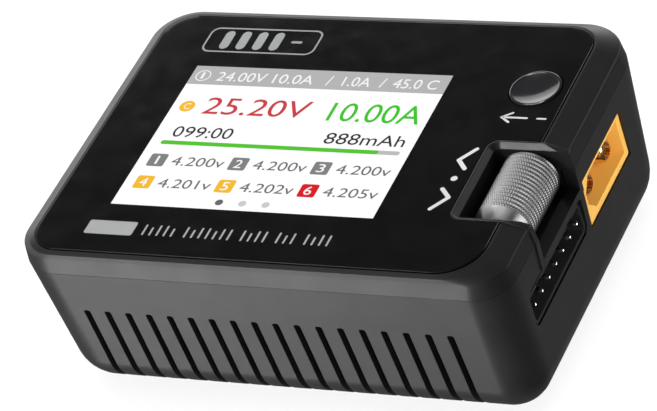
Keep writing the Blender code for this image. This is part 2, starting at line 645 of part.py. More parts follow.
# ---- controls ------------------------------------------------------------------------
def build_exit_button():
    """Make the dished button and the push switch that it works."""
    top = TOP_Z + BUTTON_PROUD
    low, high = BUTTON_FLANGE_Z, ROOF_Z - FINE_GAP
    rim = BUTTON_RADIUS - BUTTON_LIP
    parts = [step / 4 for step in range(4)]
    dish = [(rim * part, top - BUTTON_DISH * (1 - part ** 2)) for part in parts]
    edge = BUTTON_LIP / 5
    profile = dish + [(rim, top), (BUTTON_RADIUS - edge, top - edge),
                      (BUTTON_RADIUS, top - 3 * edge), (BUTTON_RADIUS, high),
                      (BUTTON_RADIUS + BUTTON_FLANGE, high),
                      (BUTTON_RADIUS + BUTTON_FLANGE, low), (0.0, low)]
    heights = [(radius, z - low) for radius, z in profile]
    turned("exit_button", heights, "button_gloss", (BUTTON_X, BUTTON_Y, low), steps=40)
    half = EXIT_SWITCH_HALF
    base = DISPLAY_TOP_Z + FINE_GAP
    body = box("exit_switch_body", (BUTTON_X - half, BUTTON_Y - half, base),
               (BUTTON_X + half, BUTTON_Y + half, base + EXIT_SWITCH_HEIGHT), "switch_black")
    cut(body, cylinder("plunger_hole", EXIT_PLUNGER_RADIUS + GAP,
                       (BUTTON_X, BUTTON_Y, base - MM), (BUTTON_X, BUTTON_Y, low), steps=24))
    cylinder("exit_switch_plunger", EXIT_PLUNGER_RADIUS,
             (BUTTON_X, BUTTON_Y, base + EXIT_SWITCH_HEIGHT / 2),
             (BUTTON_X, BUTTON_Y, low - GAP), "switch_black", steps=20)


def build_roller():
    """Make the roller: metal sleeve, plastic core and steel axle along Y."""
    middle = (ROLLER_FRONT + ROLLER_BACK) / 2
    half = (ROLLER_BACK - ROLLER_FRONT) / 2
    face = half - ROLLER_CONE
    tip = ROLLER_RADIUS - ROLLER_TAPER
    bore = ROLLER_RADIUS - SLEEVE_WALL
    sleeve = [(bore, half), (tip, half), (ROLLER_RADIUS, face), (ROLLER_RADIUS, -face),
              (tip, -half), (bore, -half)]
    turned("roller_sleeve", sleeve, "roller_silver", (ROLLER_X, middle, ROLLER_Z),
           closed=True, axis="Y", steps=48)
    hub = bore - GAP
    end = half - FINE_GAP
    core = [(BEARING_RADIUS, end), (hub, end), (hub, -end), (BEARING_RADIUS, -end)]
    turned("roller_core", core, "switch_black", (ROLLER_X, middle, ROLLER_Z),
           closed=True, axis="Y", steps=32)
    cylinder("roller_axle", AXLE_RADIUS, (ROLLER_X, AXLE_FRONT, ROLLER_Z),
             (ROLLER_X, AXLE_BACK, ROLLER_Z), "spindle_steel", "Y", 16)


def build_roller_carriage():
    """Make the yoke that carries the axle, and the switch that the yoke presses."""
    inner = YOKE_LEFT + YOKE_PLATE
    points = [(YOKE_LEFT, YOKE_FRONT), (YOKE_RIGHT, YOKE_FRONT),
              (YOKE_RIGHT, YOKE_FRONT + YOKE_ARM), (inner, YOKE_FRONT + YOKE_ARM),
              (inner, YOKE_BACK - YOKE_ARM), (YOKE_RIGHT, YOKE_BACK - YOKE_ARM),
              (YOKE_RIGHT, YOKE_BACK), (YOKE_LEFT, YOKE_BACK)]
    yoke = prism("roller_carriage", points, *YOKE_Z, "spindle_steel")
    cut(yoke, cylinder("yoke_bore", AXLE_RADIUS + FINE_GAP / 2,
                       (ROLLER_X, YOKE_FRONT - MM, ROLLER_Z),
                       (ROLLER_X, YOKE_BACK + MM, ROLLER_Z), axis="Y", steps=16))
    base = DISPLAY_TOP_Z + GAP
    half_x, half_y = ENCODER_SIZE.x / 2, ENCODER_SIZE.y / 2
    body = box("roller_encoder_body",
               (ROLLER_SWITCH_X - half_x, ROLLER_SWITCH_Y - half_y, base),
               (ROLLER_SWITCH_X + half_x, ROLLER_SWITCH_Y + half_y, base + ENCODER_SIZE.z),
               "switch_black")
    hole_left = ROLLER_PLUNGER_LEFT - PRESS_TRAVEL - GAP
    cut(body, cylinder("encoder_hole", ROLLER_PLUNGER_RADIUS + GAP,
                       (hole_left, ROLLER_SWITCH_Y, ROLLER_SWITCH_Z),
                       (YOKE_LEFT + MM, ROLLER_SWITCH_Y, ROLLER_SWITCH_Z), axis="X", steps=20))
    cylinder("roller_switch_plunger", ROLLER_PLUNGER_RADIUS,
             (ROLLER_PLUNGER_LEFT, ROLLER_SWITCH_Y, ROLLER_SWITCH_Z),
             (YOKE_LEFT - GAP, ROLLER_SWITCH_Y, ROLLER_SWITCH_Z), "switch_black", "X", 20)


# ---- connectors ----------------------------------------------------------------------
def hollow(body, low, high):
    """Cut a box-shaped cavity out of a connector's body."""
    cut(body, box(f"{body.name}_cavity", low, high))


def build_power_connector(side, label):
    """Make one two-pole power connector; side is +1 for output, -1 for input."""
    ends = sorted((side * POWER_INNER_X, side * POWER_FACE_X))
    body = box(f"{label}_connector", (ends[0], POWER_Y[0], POWER_Z[0]),
               (ends[1], POWER_Y[1], POWER_Z[1]), "connector_yellow")
    floor_x = side * (POWER_FACE_X - POWER_CAVITY)
    mouth = sorted((floor_x, side * BEYOND_X))
    hollow(body, (mouth[0], POWER_Y[0] + POWER_WALL, POWER_Z[0] + POWER_WALL),
           (mouth[1], POWER_Y[1] - POWER_WALL, POWER_Z[1] - POWER_WALL))
    middle_y, middle_z = sum(POWER_Y) / 2, sum(POWER_Z) / 2
    for pole, offset in (("positive", POWER_PIN_PITCH / 2), ("negative", -POWER_PIN_PITCH / 2)):
        y = middle_y + offset
        bore = sorted((side * 20 * MM, side * 30 * MM))
        cut(body, cylinder(f"{label}_{pole}_bore", POWER_PIN_RADIUS + GAP,
                           (bore[0], y, middle_z), (bore[1], y, middle_z), axis="X", steps=24))
        span = sorted((side * (POWER_INNER_X + 0.5 * MM), side * (POWER_FACE_X - POWER_PIN_DROP)))
        pin = cylinder(f"{label}_contact_{pole}", POWER_PIN_RADIUS, (span[0], y, middle_z),
                       (span[1], y, middle_z), "contact_gold", "X", 24)
        slit = sorted((side * (POWER_FACE_X - POWER_SLIT_DEPTH), side * POWER_FACE_X))
        half = POWER_SLIT_HALF
        reach = 2 * POWER_PIN_RADIUS
        cut(pin, box(f"{label}_{pole}_slit_a", (slit[0], y - half, middle_z - reach),
                     (slit[1], y + half, middle_z + reach)))
        cut(pin, box(f"{label}_{pole}_slit_b", (slit[0], y - reach, middle_z - half),
                     (slit[1], y + reach, middle_z + half)))


def build_balance_port():
    """Make the balance header and its seven bent pins."""
    header = box("balance_header", (BALANCE_INNER_X, BALANCE_Y[0], BALANCE_Z[0]),
                 (BALANCE_FACE_X, BALANCE_Y[1], BALANCE_Z[1]), "header_black")
    floor_x = BALANCE_FACE_X - BALANCE_CAVITY
    hollow(header, (floor_x, BALANCE_Y[0] + BALANCE_WALL, BALANCE_Z[0] + BALANCE_WALL),
           (BEYOND_X, BALANCE_Y[1] - BALANCE_WALL, BALANCE_Z[1] - BALANCE_WALL))
    middle_y, middle_z = sum(BALANCE_Y) / 2, sum(BALANCE_Z) / 2
    half = BALANCE_PIN_SIZE / 2
    tail_x = BALANCE_INNER_X - 1.2 * MM
    tip_x = BALANCE_FACE_X - BALANCE_PIN_DROP
    foot_z = MAIN_TOP_Z + GAP
    for number in range(BALANCE_PINS):
        y = middle_y + (number - (BALANCE_PINS - 1) / 2) * BALANCE_PITCH
        room = half + FINE_GAP
        cut(header, box(f"pin_hole_{number + 1}", (BALANCE_INNER_X - MM, y - room, middle_z - room),
                        (floor_x + MM, y + room, middle_z + room)))
        points = [(tail_x - half, foot_z), (tail_x + half, foot_z),
                  (tail_x + half, middle_z - half), (tip_x, middle_z - half),
                  (tip_x, middle_z + half), (tail_x - half, middle_z + half)]
        prism(f"balance_pin_{number + 1}", points, y - half, y + half, "pin_tin", "Y")


def build_usb_port():
    """Make the charging socket's metal shell and its plastic tongue."""
    shell = box("usb_shell", (USB_FACE_X, USB_Y[0], USB_Z[0]),
                (USB_INNER_X, USB_Y[1], USB_Z[1]), "frame_steel")
    hollow(shell, (-BEYOND_X, USB_Y[0] + USB_WALL, USB_Z[0] + USB_WALL),
           (USB_INNER_X - USB_WALL, USB_Y[1] - USB_WALL, USB_Z[1] - USB_WALL))
    box("usb_tongue", (USB_FACE_X + 1.2 * MM, USB_Y[0] + 1.3 * MM, USB_Z[1] - 2.7 * MM),
        (USB_INNER_X - USB_WALL - GAP, USB_Y[1] - 1.3 * MM, USB_Z[1] - 0.9 * MM),
        "header_black")


# ---- fan -------------------------------------------------------------------------------
def build_fan_frame():
    """Make the fan's square frame, with a motor plate on four struts."""
    half = FAN_SIZE / 2
    high = FAN_Z + FAN_THICK
    outline = Outline(-half, half, -half, half, 2.0 * MM)
    frame = loft("fan_frame", [(FAN_Z, outline), (high, outline)], "switch_black")
    cut(frame, cylinder("fan_bore", FAN_BORE, (0, 0, 0), (0, 0, high + MM), steps=48))
    plate_low = high - MOTOR_PLATE
    join(frame, cylinder("motor_plate", HUB_RADIUS, (0, 0, plate_low), (0, 0, high), steps=24))
    for number in range(2):
        strut = box(f"fan_strut_{number + 1}", (-FAN_BORE - GAP, -STRUT_HALF_WIDTH, plate_low),
                    (FAN_BORE + GAP, STRUT_HALF_WIDTH, high))
        strut.rotation_euler = (0.0, 0.0, math.radians(45 + 90 * number))
        join(frame, strut)
    reach = half - FAN_HOLE_INSET
    for number, (x, y) in enumerate(((-reach, -reach), (-reach, reach), (reach, -reach),
                                     (reach, reach)), 1):
        cut(frame, cylinder(f"fan_screw_hole_{number}", FAN_HOLE_RADIUS, (x, y, 0),
                            (x, y, high + MM), steps=12))


def build_fan_rotor():
    """Make the fan's hub and its seven pitched blades."""
    low, high = FAN_Z + 0.6 * MM, FAN_Z + FAN_THICK - 1.5 * MM
    tip_radius = FAN_BORE - 0.7 * MM
    rotor = cylinder("fan_rotor", HUB_RADIUS, (0, 0, low), (0, 0, high), "switch_black", steps=28)
    half_chord = (high - low) / 2 / math.sin(BLADE_PITCH) * 0.86
    for number in range(FAN_BLADES):
        blade = box(f"fan_blade_{number + 1}", (-BLADE_HALF_THICK, -half_chord, HUB_RADIUS - MM),
                    (BLADE_HALF_THICK, half_chord, tip_radius))
        # the box stands along Z: lay it along +X, pitch it and send it round the hub
        lay = Matrix.Rotation(math.pi / 2, 4, "Y")
        tilt = Matrix.Rotation(BLADE_PITCH, 4, "X")
        spin = Matrix.Rotation(2 * math.pi * number / FAN_BLADES, 4, "Z")
        reach = Matrix.Translation(Vector((0, 0, (HUB_RADIUS - MM + tip_radius) / 2)))
        lift = Matrix.Translation(Vector((0, 0, (low + high) / 2)))
        blade.matrix_world = lift @ spin @ tilt @ lay @ reach
        join(rotor, blade)


def build_fan_lead():
    """Make the fan's lead, clipped between the fan and its plug under the board."""
    box("fan_plug", PLUG_LOW,
        (PLUG_LOW.x + PLUG_SIZE.x, PLUG_LOW.y + PLUG_SIZE.y, MAIN_BOARD_Z - GAP),
        "header_black")
    route = [Vector(point) * MM for point in ((15.3, 11.0, 7.0), (17.0, 11.2, 6.8),
                                              (18.6, 10.2, 6.9), (19.4, 8.2, 8.2),
                                              (20.4, 6.8, 9.6), (21.7, 6.5, 9.9))]
    curve = bpy.data.curves.new("fan_lead", "CURVE")
    curve.dimensions = "3D"
    curve.bevel_depth = LEAD_RADIUS
    curve.bevel_resolution = 2
    curve.use_fill_caps = True
    spline = curve.splines.new("POLY")
    spline.points.add(len(route) - 1)
    for point, place_at in zip(spline.points, route):
        point.co = (*place_at, 1.0)
    lead = bpy.data.objects.new("fan_lead", curve)
    curve.materials.append(finish("header_black"))
    PARTS.objects.link(lead)


def build_charger():
    """Make every piece of the charger."""
    build_lower_housing()
    build_upper_housing()
    build_front_panel()
    build_feet_and_screws()
    build_screen()
    build_display_board()
    build_main_board()
    build_board_parts()
    build_exit_button()
    build_roller()
    build_roller_carriage()
    build_power_connector(1, "output")
    build_power_connector(-1, "input")
    build_balance_port()
    build_usb_port()
    build_fan_frame()
    build_fan_rotor()
    build_fan_lead()


clear_scene()
PARTS = make_collection("balance_charger")
CUTTERS = make_collection("cutters")
build_charger()
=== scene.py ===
"""Looks of the balance charger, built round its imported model."""
import math
from collections import namedtuple

import bmesh
import bpy
from mathutils import Matrix, Vector


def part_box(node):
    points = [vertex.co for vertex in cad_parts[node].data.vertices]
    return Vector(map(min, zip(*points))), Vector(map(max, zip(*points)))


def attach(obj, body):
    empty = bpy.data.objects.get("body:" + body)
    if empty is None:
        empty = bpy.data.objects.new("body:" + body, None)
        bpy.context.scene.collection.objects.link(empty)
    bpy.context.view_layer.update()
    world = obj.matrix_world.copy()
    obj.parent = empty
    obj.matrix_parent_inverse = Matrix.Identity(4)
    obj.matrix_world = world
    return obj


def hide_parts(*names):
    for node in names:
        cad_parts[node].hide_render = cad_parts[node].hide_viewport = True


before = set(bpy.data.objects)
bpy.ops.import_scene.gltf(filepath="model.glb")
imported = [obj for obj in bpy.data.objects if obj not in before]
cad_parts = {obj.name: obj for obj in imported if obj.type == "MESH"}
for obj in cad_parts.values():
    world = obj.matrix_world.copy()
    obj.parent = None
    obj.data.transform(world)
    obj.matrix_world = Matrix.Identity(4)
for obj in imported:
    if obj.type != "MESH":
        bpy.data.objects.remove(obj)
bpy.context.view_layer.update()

MM = 0.001

# ---- sizes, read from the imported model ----
UPPER_LOW, UPPER_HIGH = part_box("upper_housing")
LOWER_LOW, LOWER_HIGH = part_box("lower_housing")
PANEL_LOW, PANEL_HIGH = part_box("front_panel")
GLASS_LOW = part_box("screen_glass")[0]
ROLLER_LOW, ROLLER_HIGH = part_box("roller_sleeve")

TOP_Z = PANEL_HIGH.z
SEAM = 0.02 * MM                 # hairline between the two halves of the case
CREASE_Z = LOWER_HIGH.z + 0.3 * MM           # where the halves meet, the case's widest line
RIM_Z = TOP_Z - 1.2 * MM         # where the side band turns into the border
LIP_Z = UPPER_HIGH.z             # the lip round the panel
SEAT_Z = PANEL_LOW.z - 0.25 * MM
ROOF_Z = GLASS_LOW.z             # the top wall's inside
SOLE_Z = LOWER_LOW.z
WALL = 1.8 * MM
RIM_ROUND = 0.42 * MM
SOLE_ROUND = 6.0 * MM
SIDE_DRAFT = 0.04                # how far a wall leans in, for each unit of depth
FRONT_DRAFT = 0.11
CORNER_STEPS = 14                # facets in a corner, in the sole's edge and in a fillet
ROUND_STEPS = 10
FILLET_STEPS = 4
SHARP = math.radians(35)
END_INSIDE = 34.0 * MM           # well inside the end walls
END_BEYOND = 40.0 * MM           # well beyond them

Outline = namedtuple("Outline", "left right front back "
                                "back_right back_left front_left front_right")


def middle(node):
    """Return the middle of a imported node's box."""
    low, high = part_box(node)
    return [(low[k] + high[k]) / 2 for k in range(3)]


def outline(left, right, front, back, radius):
    """Make a rounded rectangle with one radius for all corners, or one for each."""
    radii = radius if isinstance(radius, tuple) else (radius,) * 4
    return Outline(left, right, front, back, *radii)


def inset(shape, distance):
    """Move an outline inwards all round."""
    return Outline(shape.left + distance, shape.right - distance, shape.front + distance,
                   shape.back - distance, *(max(r - distance, 0.05 * MM) for r in shape[4:]))


CREASE = outline(UPPER_LOW.x, UPPER_HIGH.x, UPPER_LOW.y, UPPER_HIGH.y,
                 (7.5 * MM, 6.5 * MM, 6.5 * MM, 5.5 * MM))
RIM = outline(UPPER_LOW.x + 0.35 * MM, UPPER_HIGH.x - 0.35 * MM, UPPER_LOW.y + 0.13 * MM,
              UPPER_HIGH.y - 0.4 * MM, (7.2 * MM, 6.2 * MM, 6.2 * MM, 4.6 * MM))
PANEL = outline(PANEL_LOW.x, PANEL_HIGH.x, PANEL_LOW.y + 0.2 * MM, PANEL_HIGH.y,
                (4.5 * MM, 4.5 * MM, 4.5 * MM, 6.0 * MM))
LIP = inset(PANEL, -0.45 * MM)._replace(front=UPPER_LOW.y + 0.25 * MM)

SCREEN_X, SCREEN_Y, _ = middle("screen_glass")
SCREEN_WIDTH = 40.8 * MM
SCREEN_HEIGHT = 30.6 * MM
PICTURE_Z = TOP_Z - 0.03 * MM

BUTTON_X, BUTTON_Y, _ = middle("exit_button")
BUTTON_RADIUS = 3.8 * MM

ROLLER_X, _, ROLLER_Z = middle("roller_sleeve")
ROLLER_RADIUS = (ROLLER_HIGH.z - ROLLER_LOW.z) / 2
RING_PITCH = 0.72 * MM           # from one ring of the knurl to the next
TEETH = 68                       # waves round each ring

# the pocket that the roller sits in, with a funnel-shaped mouth
POCKET = outline(ROLLER_LOW.x - 0.95 * MM, END_BEYOND + 2.0 * MM,
                 ROLLER_LOW.y - 0.35 * MM, ROLLER_HIGH.y + 0.4 * MM,
                 (0.1 * MM, 0.8 * MM, 0.6 * MM, 0.1 * MM))
POCKET_MOUTH = 0.75 * MM         # width of the slope round the pocket's mouth
POCKET_RIM = 1.05 * MM           # thickness of the collar round it
POCKET_FLOOR = 20.6 * MM
POCKET_SILL = TOP_Z - 7.3 * MM   # where its open side ends, in the right wall
RIM_RAISE = 0.2 * MM             # how far the pocket's collar stands above the case

POLES = range(1, 8)              # of the balance port
CORNERS = range(1, 5)            # a screw and a foot in each
SLOT_COUNT = 18
SLOT_PITCH = 3.3 * MM
SLOT_WIDTH = 1.0 * MM
SLOT_FIRST_X = -28.6 * MM
SLOT_TOP_Z = TOP_Z - 11.1 * MM
SLOT_INNER_Y = 21.5 * MM


# ---- shape helpers ----
def outline_points(shape, steps=CORNER_STEPS):
    """List an outline's points, anticlockwise from its right side."""
    corners = [(shape.right, shape.back, -1, -1, shape.back_right),
               (shape.left, shape.back, 1, -1, shape.back_left),
               (shape.left, shape.front, 1, 1, shape.front_left),
               (shape.right, shape.front, -1, 1, shape.front_right)]
    points = []
    for quarter, (x, y, inward_x, inward_y, radius) in enumerate(corners):
        for step in range(steps + 1):
            angle = math.pi / 2 * (quarter + step / steps)
            points.append((x + radius * (inward_x + math.cos(angle)),
                           y + radius * (inward_y + math.sin(angle))))
    return points


def between(a, b, share):
    """Mix two sections, each a height and an outline."""
    mixed = Outline(*(p + (q - p) * share for p, q in zip(a[1], b[1])))
    return a[0] + (b[0] - a[0]) * share, mixed


def span(a, b):
    """Return how far apart two sections are, along their wider side."""
    return max(math.hypot(b[0] - a[0], b[1].right - a[1].right),
               math.hypot(b[0] - a[0], b[1].front - a[1].front))


def filleted(corners):
    """Round a stack of (height, outline, radius) corners into plain sections."""
    sections = []
    for number, (z, shape, radius) in enumerate(corners):
        here = (z, shape)
        if not radius or number in (0, len(corners) - 1):
            sections.append(here)
            continue
        before, after = corners[number - 1][:2], corners[number + 1][:2]
        start = between(here, before, min(0.45, radius / span(here, before)))
        end = between(here, after, min(0.45, radius / span(here, after)))
        for step in range(FILLET_STEPS + 1):
            share = step / FILLET_STEPS
            sections.append(between(between(start, here, share), between(here, end, share),
                                    share))
    return sections


def skin(shape, rings, caps=True):
    """Join rings of points into a tube, with end caps or back onto its first ring."""
    uppers = rings[1:] if caps else rings[1:] + rings[:1]
    for lower, upper in zip(rings, uppers):
        for here in range(len(lower)):
            after = (here + 1) % len(lower)
            shape.faces.new((lower[here], lower[after], upper[after], upper[here]))
    if caps:
        shape.faces.new(reversed(rings[0]))
        shape.faces.new(rings[-1])
    return shape


def loft(sections, steps=CORNER_STEPS):
    """Skin a stack of (height, outline) sections into a closed shape."""
    shape = bmesh.new()
    rings = [[shape.verts.new((x, y, z)) for x, y in outline_points(section, steps)]
             for z, section in sections]
    return skin(shape, rings)


def box(low, high, bevel=0.0, segments=3):
    """Make a box between two corners, with rounded edges if asked."""
    low, high = Vector(low), Vector(high)
    shape = bmesh.new()
    bmesh.ops.create_cube(shape, size=1.0, matrix=Matrix.Translation((low + high) / 2)
                          @ Matrix.Diagonal((*(high - low), 1.0)))
    if bevel:
        bmesh.ops.bevel(shape, geom=shape.edges[:], offset=bevel, segments=segments,
                        profile=0.5, affect="EDGES")
    return shape


def cylinder(radius, low, high, steps=40):
    """Make a cylinder between the centres of its end faces."""
    low, high = Vector(low), Vector(high)
    turn = (high - low).to_track_quat("Z", "Y").to_matrix().to_4x4()
    shape = bmesh.new()
    bmesh.ops.create_cone(shape, cap_ends=True, segments=steps, radius1=radius,
                          radius2=radius, depth=(high - low).length,
                          matrix=Matrix.Translation((low + high) / 2) @ turn)
    return shape


def post(radius, x, y, low, high, steps=40):
    """Make an upright cylinder."""
    return cylinder(radius, (x, y, low), (x, y, high), steps)


def prism(points, axis, low, high):
    """Extrude a flat outline along an axis between two places."""
    spread = {"X": lambda a, b, c: (c, a, b),
              "Y": lambda a, b, c: (a, c, b),
              "Z": lambda a, b, c: (a, b, c)}[axis]
    shape = bmesh.new()
    ends = [[shape.verts.new(spread(a, b, level)) for a, b in points]
            for level in sorted((low, high))]
    shape.faces.new(ends[0])
    shape.faces.new(reversed(ends[1]))
    for here in range(len(points)):
        after = (here + 1) % len(points)
        shape.faces.new((ends[0][after], ends[0][here], ends[1][here], ends[1][after]))
    bmesh.ops.recalc_face_normals(shape, faces=shape.faces)
    return shape


def circle(radius, steps, x=0.0, y=0.0):
    """List points round a circle."""
    return [(x + radius * math.cos(2 * math.pi * k / steps),
             y + radius * math.sin(2 * math.pi * k / steps)) for k in range(steps)]


def hoop(outer, inner, low, high):
    """Make a flat ring between two lists of points."""
    shape = bmesh.new()
    rings = [[shape.verts.new((x, y, z)) for x, y in points]
             for points, z in ((outer, low), (outer, high), (inner, high), (inner, low))]
    return skin(shape, rings, caps=False)


def turned(profile, place, steps=64):
    """Turn a profile of (radius, height) points about Z; it starts and ends on the axis."""
    shape = bmesh.new()
    rings = []
    for radius, height in profile:
        points = circle(radius, steps) if radius else [(0.0, 0.0)]
        rings.append([shape.verts.new((x, y, height)) for x, y in points])
    for lower, upper in zip(rings, rings[1:]):
        for here in range(steps):
            after = (here + 1) % steps
            corners = [lower[here % len(lower)], lower[after % len(lower)],
                       upper[after % len(upper)], upper[here % len(upper)]]
            unique = list(dict.fromkeys(corners))
            if len(unique) > 2:
                shape.faces.new(unique)
    bmesh.ops.recalc_face_normals(shape, faces=shape.faces)
    shape.transform(place)
    return shape


def merged(shapes):
    """Put several shapes into one, side by side."""
    whole = bmesh.new()
    for shape in shapes:
        mesh = bpy.data.meshes.new("part")
        shape.to_mesh(mesh)
        shape.free()
        whole.from_mesh(mesh)
        bpy.data.meshes.remove(mesh)
    return whole


def helper_object(shape):
    """Put a shape into the scene for a moment."""
    mesh = bpy.data.meshes.new("helper")
    shape.to_mesh(mesh)
    shape.free()
    item = bpy.data.objects.new("helper", mesh)
    bpy.context.scene.collection.objects.link(item)
    return item


def boolean(shape, tools, operation="DIFFERENCE"):
    """Cut tools out of a shape, join them to it, or keep what they share."""
    target, tool = helper_object(shape), helper_object(merged(tools))
    modifier = target.modifiers.new("Boolean", "BOOLEAN")
    modifier.operation = operation
    modifier.solver = "EXACT"
    modifier.use_self = len(tools) > 1
    modifier.object = tool
    graph = bpy.context.evaluated_depsgraph_get()
    made = bmesh.new()
    made.from_mesh(target.evaluated_get(graph).data)
    for item in (target, tool):
        mesh = item.data
        bpy.data.objects.remove(item)
        bpy.data.meshes.remove(mesh)
    bmesh.ops.remove_doubles(made, verts=made.verts, dist=2e-6)
    return made


def carve(shape, *groups):
    """Cut groups of tools out of a shape, one group after another."""
    for tools in groups:
        shape = boolean(shape, tools)
    return shape


def soften(shape, width, chosen=None, segments=2, angle=SHARP):
    """Round the sharp outer edges that a test picks."""
    edges = [edge for edge in shape.edges
             if len(edge.link_faces) == 2 and edge.calc_face_angle_signed(0.0) > angle
             and (chosen is None or chosen(edge))]
    bmesh.ops.bevel(shape, geom=edges, offset=width, segments=segments, profile=0.5,
                    affect="EDGES", clamp_overlap=True)
    return shape


def within(low, high):
    """Make a test for edges that lie inside a box."""
    def test(edge):
        return all(low[k] <= vert.co[k] <= high[k] for vert in edge.verts for k in range(3))
    return test


def piece(name, shape, look, body="case", replaces=(), flat=False):
    """Turn a shape into a named piece that rides on a body."""
    mesh = bpy.data.meshes.new(name)
    shape.to_mesh(mesh)
    shape.free()
    item = bpy.data.objects.new(name, mesh)
    bpy.context.scene.collection.objects.link(item)
    mesh.materials.append(look)
    if not flat:
        mesh.shade_smooth()
        mesh.set_sharp_from_angle(angle=SHARP)
        normals = item.modifiers.new("Weighted normals", "WEIGHTED_NORMAL")
        normals.keep_sharp = True
    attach(item, body)
    if replaces:
        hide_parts(*replaces)
    return item


# ---- material helpers ----
EVEN = (1.0, 1.0, 1.0)           # a texture that is not stretched


def new_material(name):
    """Return a material, its node tree and its Principled shader."""
    material = bpy.data.materials.new(name)
    material.use_nodes = True
    tree = material.node_tree
    return material, tree, tree.nodes["Principled BSDF"]


def fill(tree, node, settings):
    """Set a node's inputs; those given as another node's output are linked."""
    for name, value in settings.items():
        if isinstance(value, bpy.types.NodeSocket):
            tree.links.new(value, node.inputs[name])
        else:
            node.inputs[name].default_value = value


def add_node(tree, kind, settings):
    """Add a shader node and set its inputs."""
    node = tree.nodes.new(f"ShaderNode{kind}")
    fill(tree, node, settings)
    return node


def noise(tree, scale, detail, stretch=EVEN, seed=0.0):
    """Add a noise texture in the object's own coordinates and return its value."""
    coordinates = tree.nodes.new("ShaderNodeTexCoord")
    mapping = add_node(tree, "Mapping", {"Location": (seed, seed * 0.7, seed * 1.3),
                                         "Scale": stretch,
                                         "Vector": coordinates.outputs["Object"]})
    texture = add_node(tree, "TexNoise", {"Scale": scale, "Detail": detail,
                                          "Vector": mapping.outputs["Vector"]})
    return texture.outputs["Fac"]


def ramp(tree, source, low, high, start=0.3, end=0.7):
    """Map a value between two colours or greys."""
    node = add_node(tree, "ValToRGB", {"Fac": source})
    for element, place, colour in zip(node.color_ramp.elements, (start, end), (low, high)):
        element.position = place
        element.color = (*colour, 1.0)
    return node.outputs["Color"]


def grey(value):
    """Return a grey as a colour."""
    return (value, value, value)


def shade(colour, factor):
    """Return a colour made lighter or darker."""
    return tuple(channel * factor for channel in colour)


def surface(name, colour, roughness, metallic=0.0, grain=2500.0, grain_depth=0.01 * MM,
            vary=0.15, rough_vary=0.08, specular=0.5, stretch=EVEN, coat=0.0, blotch=120.0):
    """Make a moulded or machined surface: blotchy colour, uneven gloss and a fine grain."""
    material, tree, shader = new_material(name)
    blotches = noise(tree, blotch, 4.0, seed=0.01)
    smudges = noise(tree, blotch * 2.5, 5.0, seed=0.02)
    relief = add_node(tree, "Bump", {"Strength": 0.6, "Distance": grain_depth,
                                     "Height": noise(tree, grain, 3.0, stretch)})
    fill(tree, shader, {
        "Base Color": ramp(tree, blotches, shade(colour, 1 - vary), shade(colour, 1 + vary)),
        "Roughness": ramp(tree, smudges, grey(roughness - rough_vary),
                          grey(roughness + rough_vary)),
        "Normal": relief.outputs["Normal"],
        "Metallic": metallic,
        "Specular IOR Level": specular})
    if coat:
        fill(tree, shader, {"Coat Weight": coat, "Coat Roughness": 0.05})
    return material


def lit(name, colour):
    """Make a patch of the display: light from behind, seen through clear plastic."""
    material, tree, shader = new_material(name)
    glow = ramp(tree, noise(tree, 900.0, 2.0), shade(colour, 0.985), shade(colour, 1.015))
    fill(tree, shader, {"Emission Color": glow, "Base Color": (*shade(colour, 0.02), 1.0),
                        "Emission Strength": 1.0, "Roughness": 0.15})
    return material


CASE = surface("case_plastic", (0.021, 0.021, 0.022), 0.37, grain=3200.0,
               grain_depth=0.012 * MM, rough_vary=0.02, specular=0.45)
PANEL_LOOK = surface("panel_acrylic", (0.0065, 0.0065, 0.0075), 0.16, grain=700.0,
                     grain_depth=0.0008 * MM, rough_vary=0.03, specular=0.3)
BUTTON_LOOK = surface("button_gloss", (0.010, 0.010, 0.011), 0.14, grain=900.0,
                      grain_depth=0.001 * MM, rough_vary=0.04)
ROLLER_LOOK = surface("roller_nickel", (0.60, 0.60, 0.61), 0.30, 1.0, grain=4000.0,
                      grain_depth=0.004 * MM, vary=0.08)
STEEL = surface("brushed_steel", (0.52, 0.52, 0.54), 0.32, 1.0, grain=1500.0,
                stretch=(0.15, 1.0, 1.0), grain_depth=0.006 * MM)
DARK_PLASTIC = surface("dark_nylon", (0.020, 0.020, 0.021), 0.5, grain=2600.0)
HEADER_LOOK = surface("header_nylon", (0.012, 0.012, 0.013), 0.42, grain=2600.0)
YELLOW = surface("connector_nylon", (0.90, 0.49, 0.09), 0.38, grain=2200.0, vary=0.05)
GOLD = surface("contact_gold", (0.86, 0.60, 0.27), 0.2, 1.0, grain=3000.0,
               grain_depth=0.003 * MM, vary=0.06)
TIN = surface("pin_tin", (0.70, 0.70, 0.68), 0.25, 1.0, grain=3000.0,
              grain_depth=0.004 * MM, vary=0.06)
BOARD = surface("board_green", (0.012, 0.10, 0.035), 0.4, grain=1500.0, vary=0.25, coat=0.3)
ALUMINIUM = surface("sink_aluminium", (0.55, 0.56, 0.57), 0.36, 1.0, grain=1800.0,
                    stretch=(1.0, 0.1, 1.0))
FERRITE = surface("ferrite", (0.07, 0.07, 0.075), 0.62, grain=2000.0, vary=0.2)
RUBBER = surface("foot_rubber", (0.018, 0.018, 0.018), 0.8, grain=1800.0,
                 grain_depth=0.03 * MM, specular=0.3)
SCREW_LOOK = surface("screw_black_oxide", (0.10, 0.10, 0.11), 0.36, 1.0, grain=2200.0)
RIBBON = surface("ribbon_amber", (0.42, 0.17, 0.02), 0.35, grain=900.0, coat=0.3)
INK = surface("printed_ink", (0.78, 0.79, 0.80), 0.5, grain=3000.0, vary=0.06)
DIM_INK = surface("printed_ink_dim", (0.40, 0.405, 0.41), 0.5, grain=3000.0, vary=0.08)


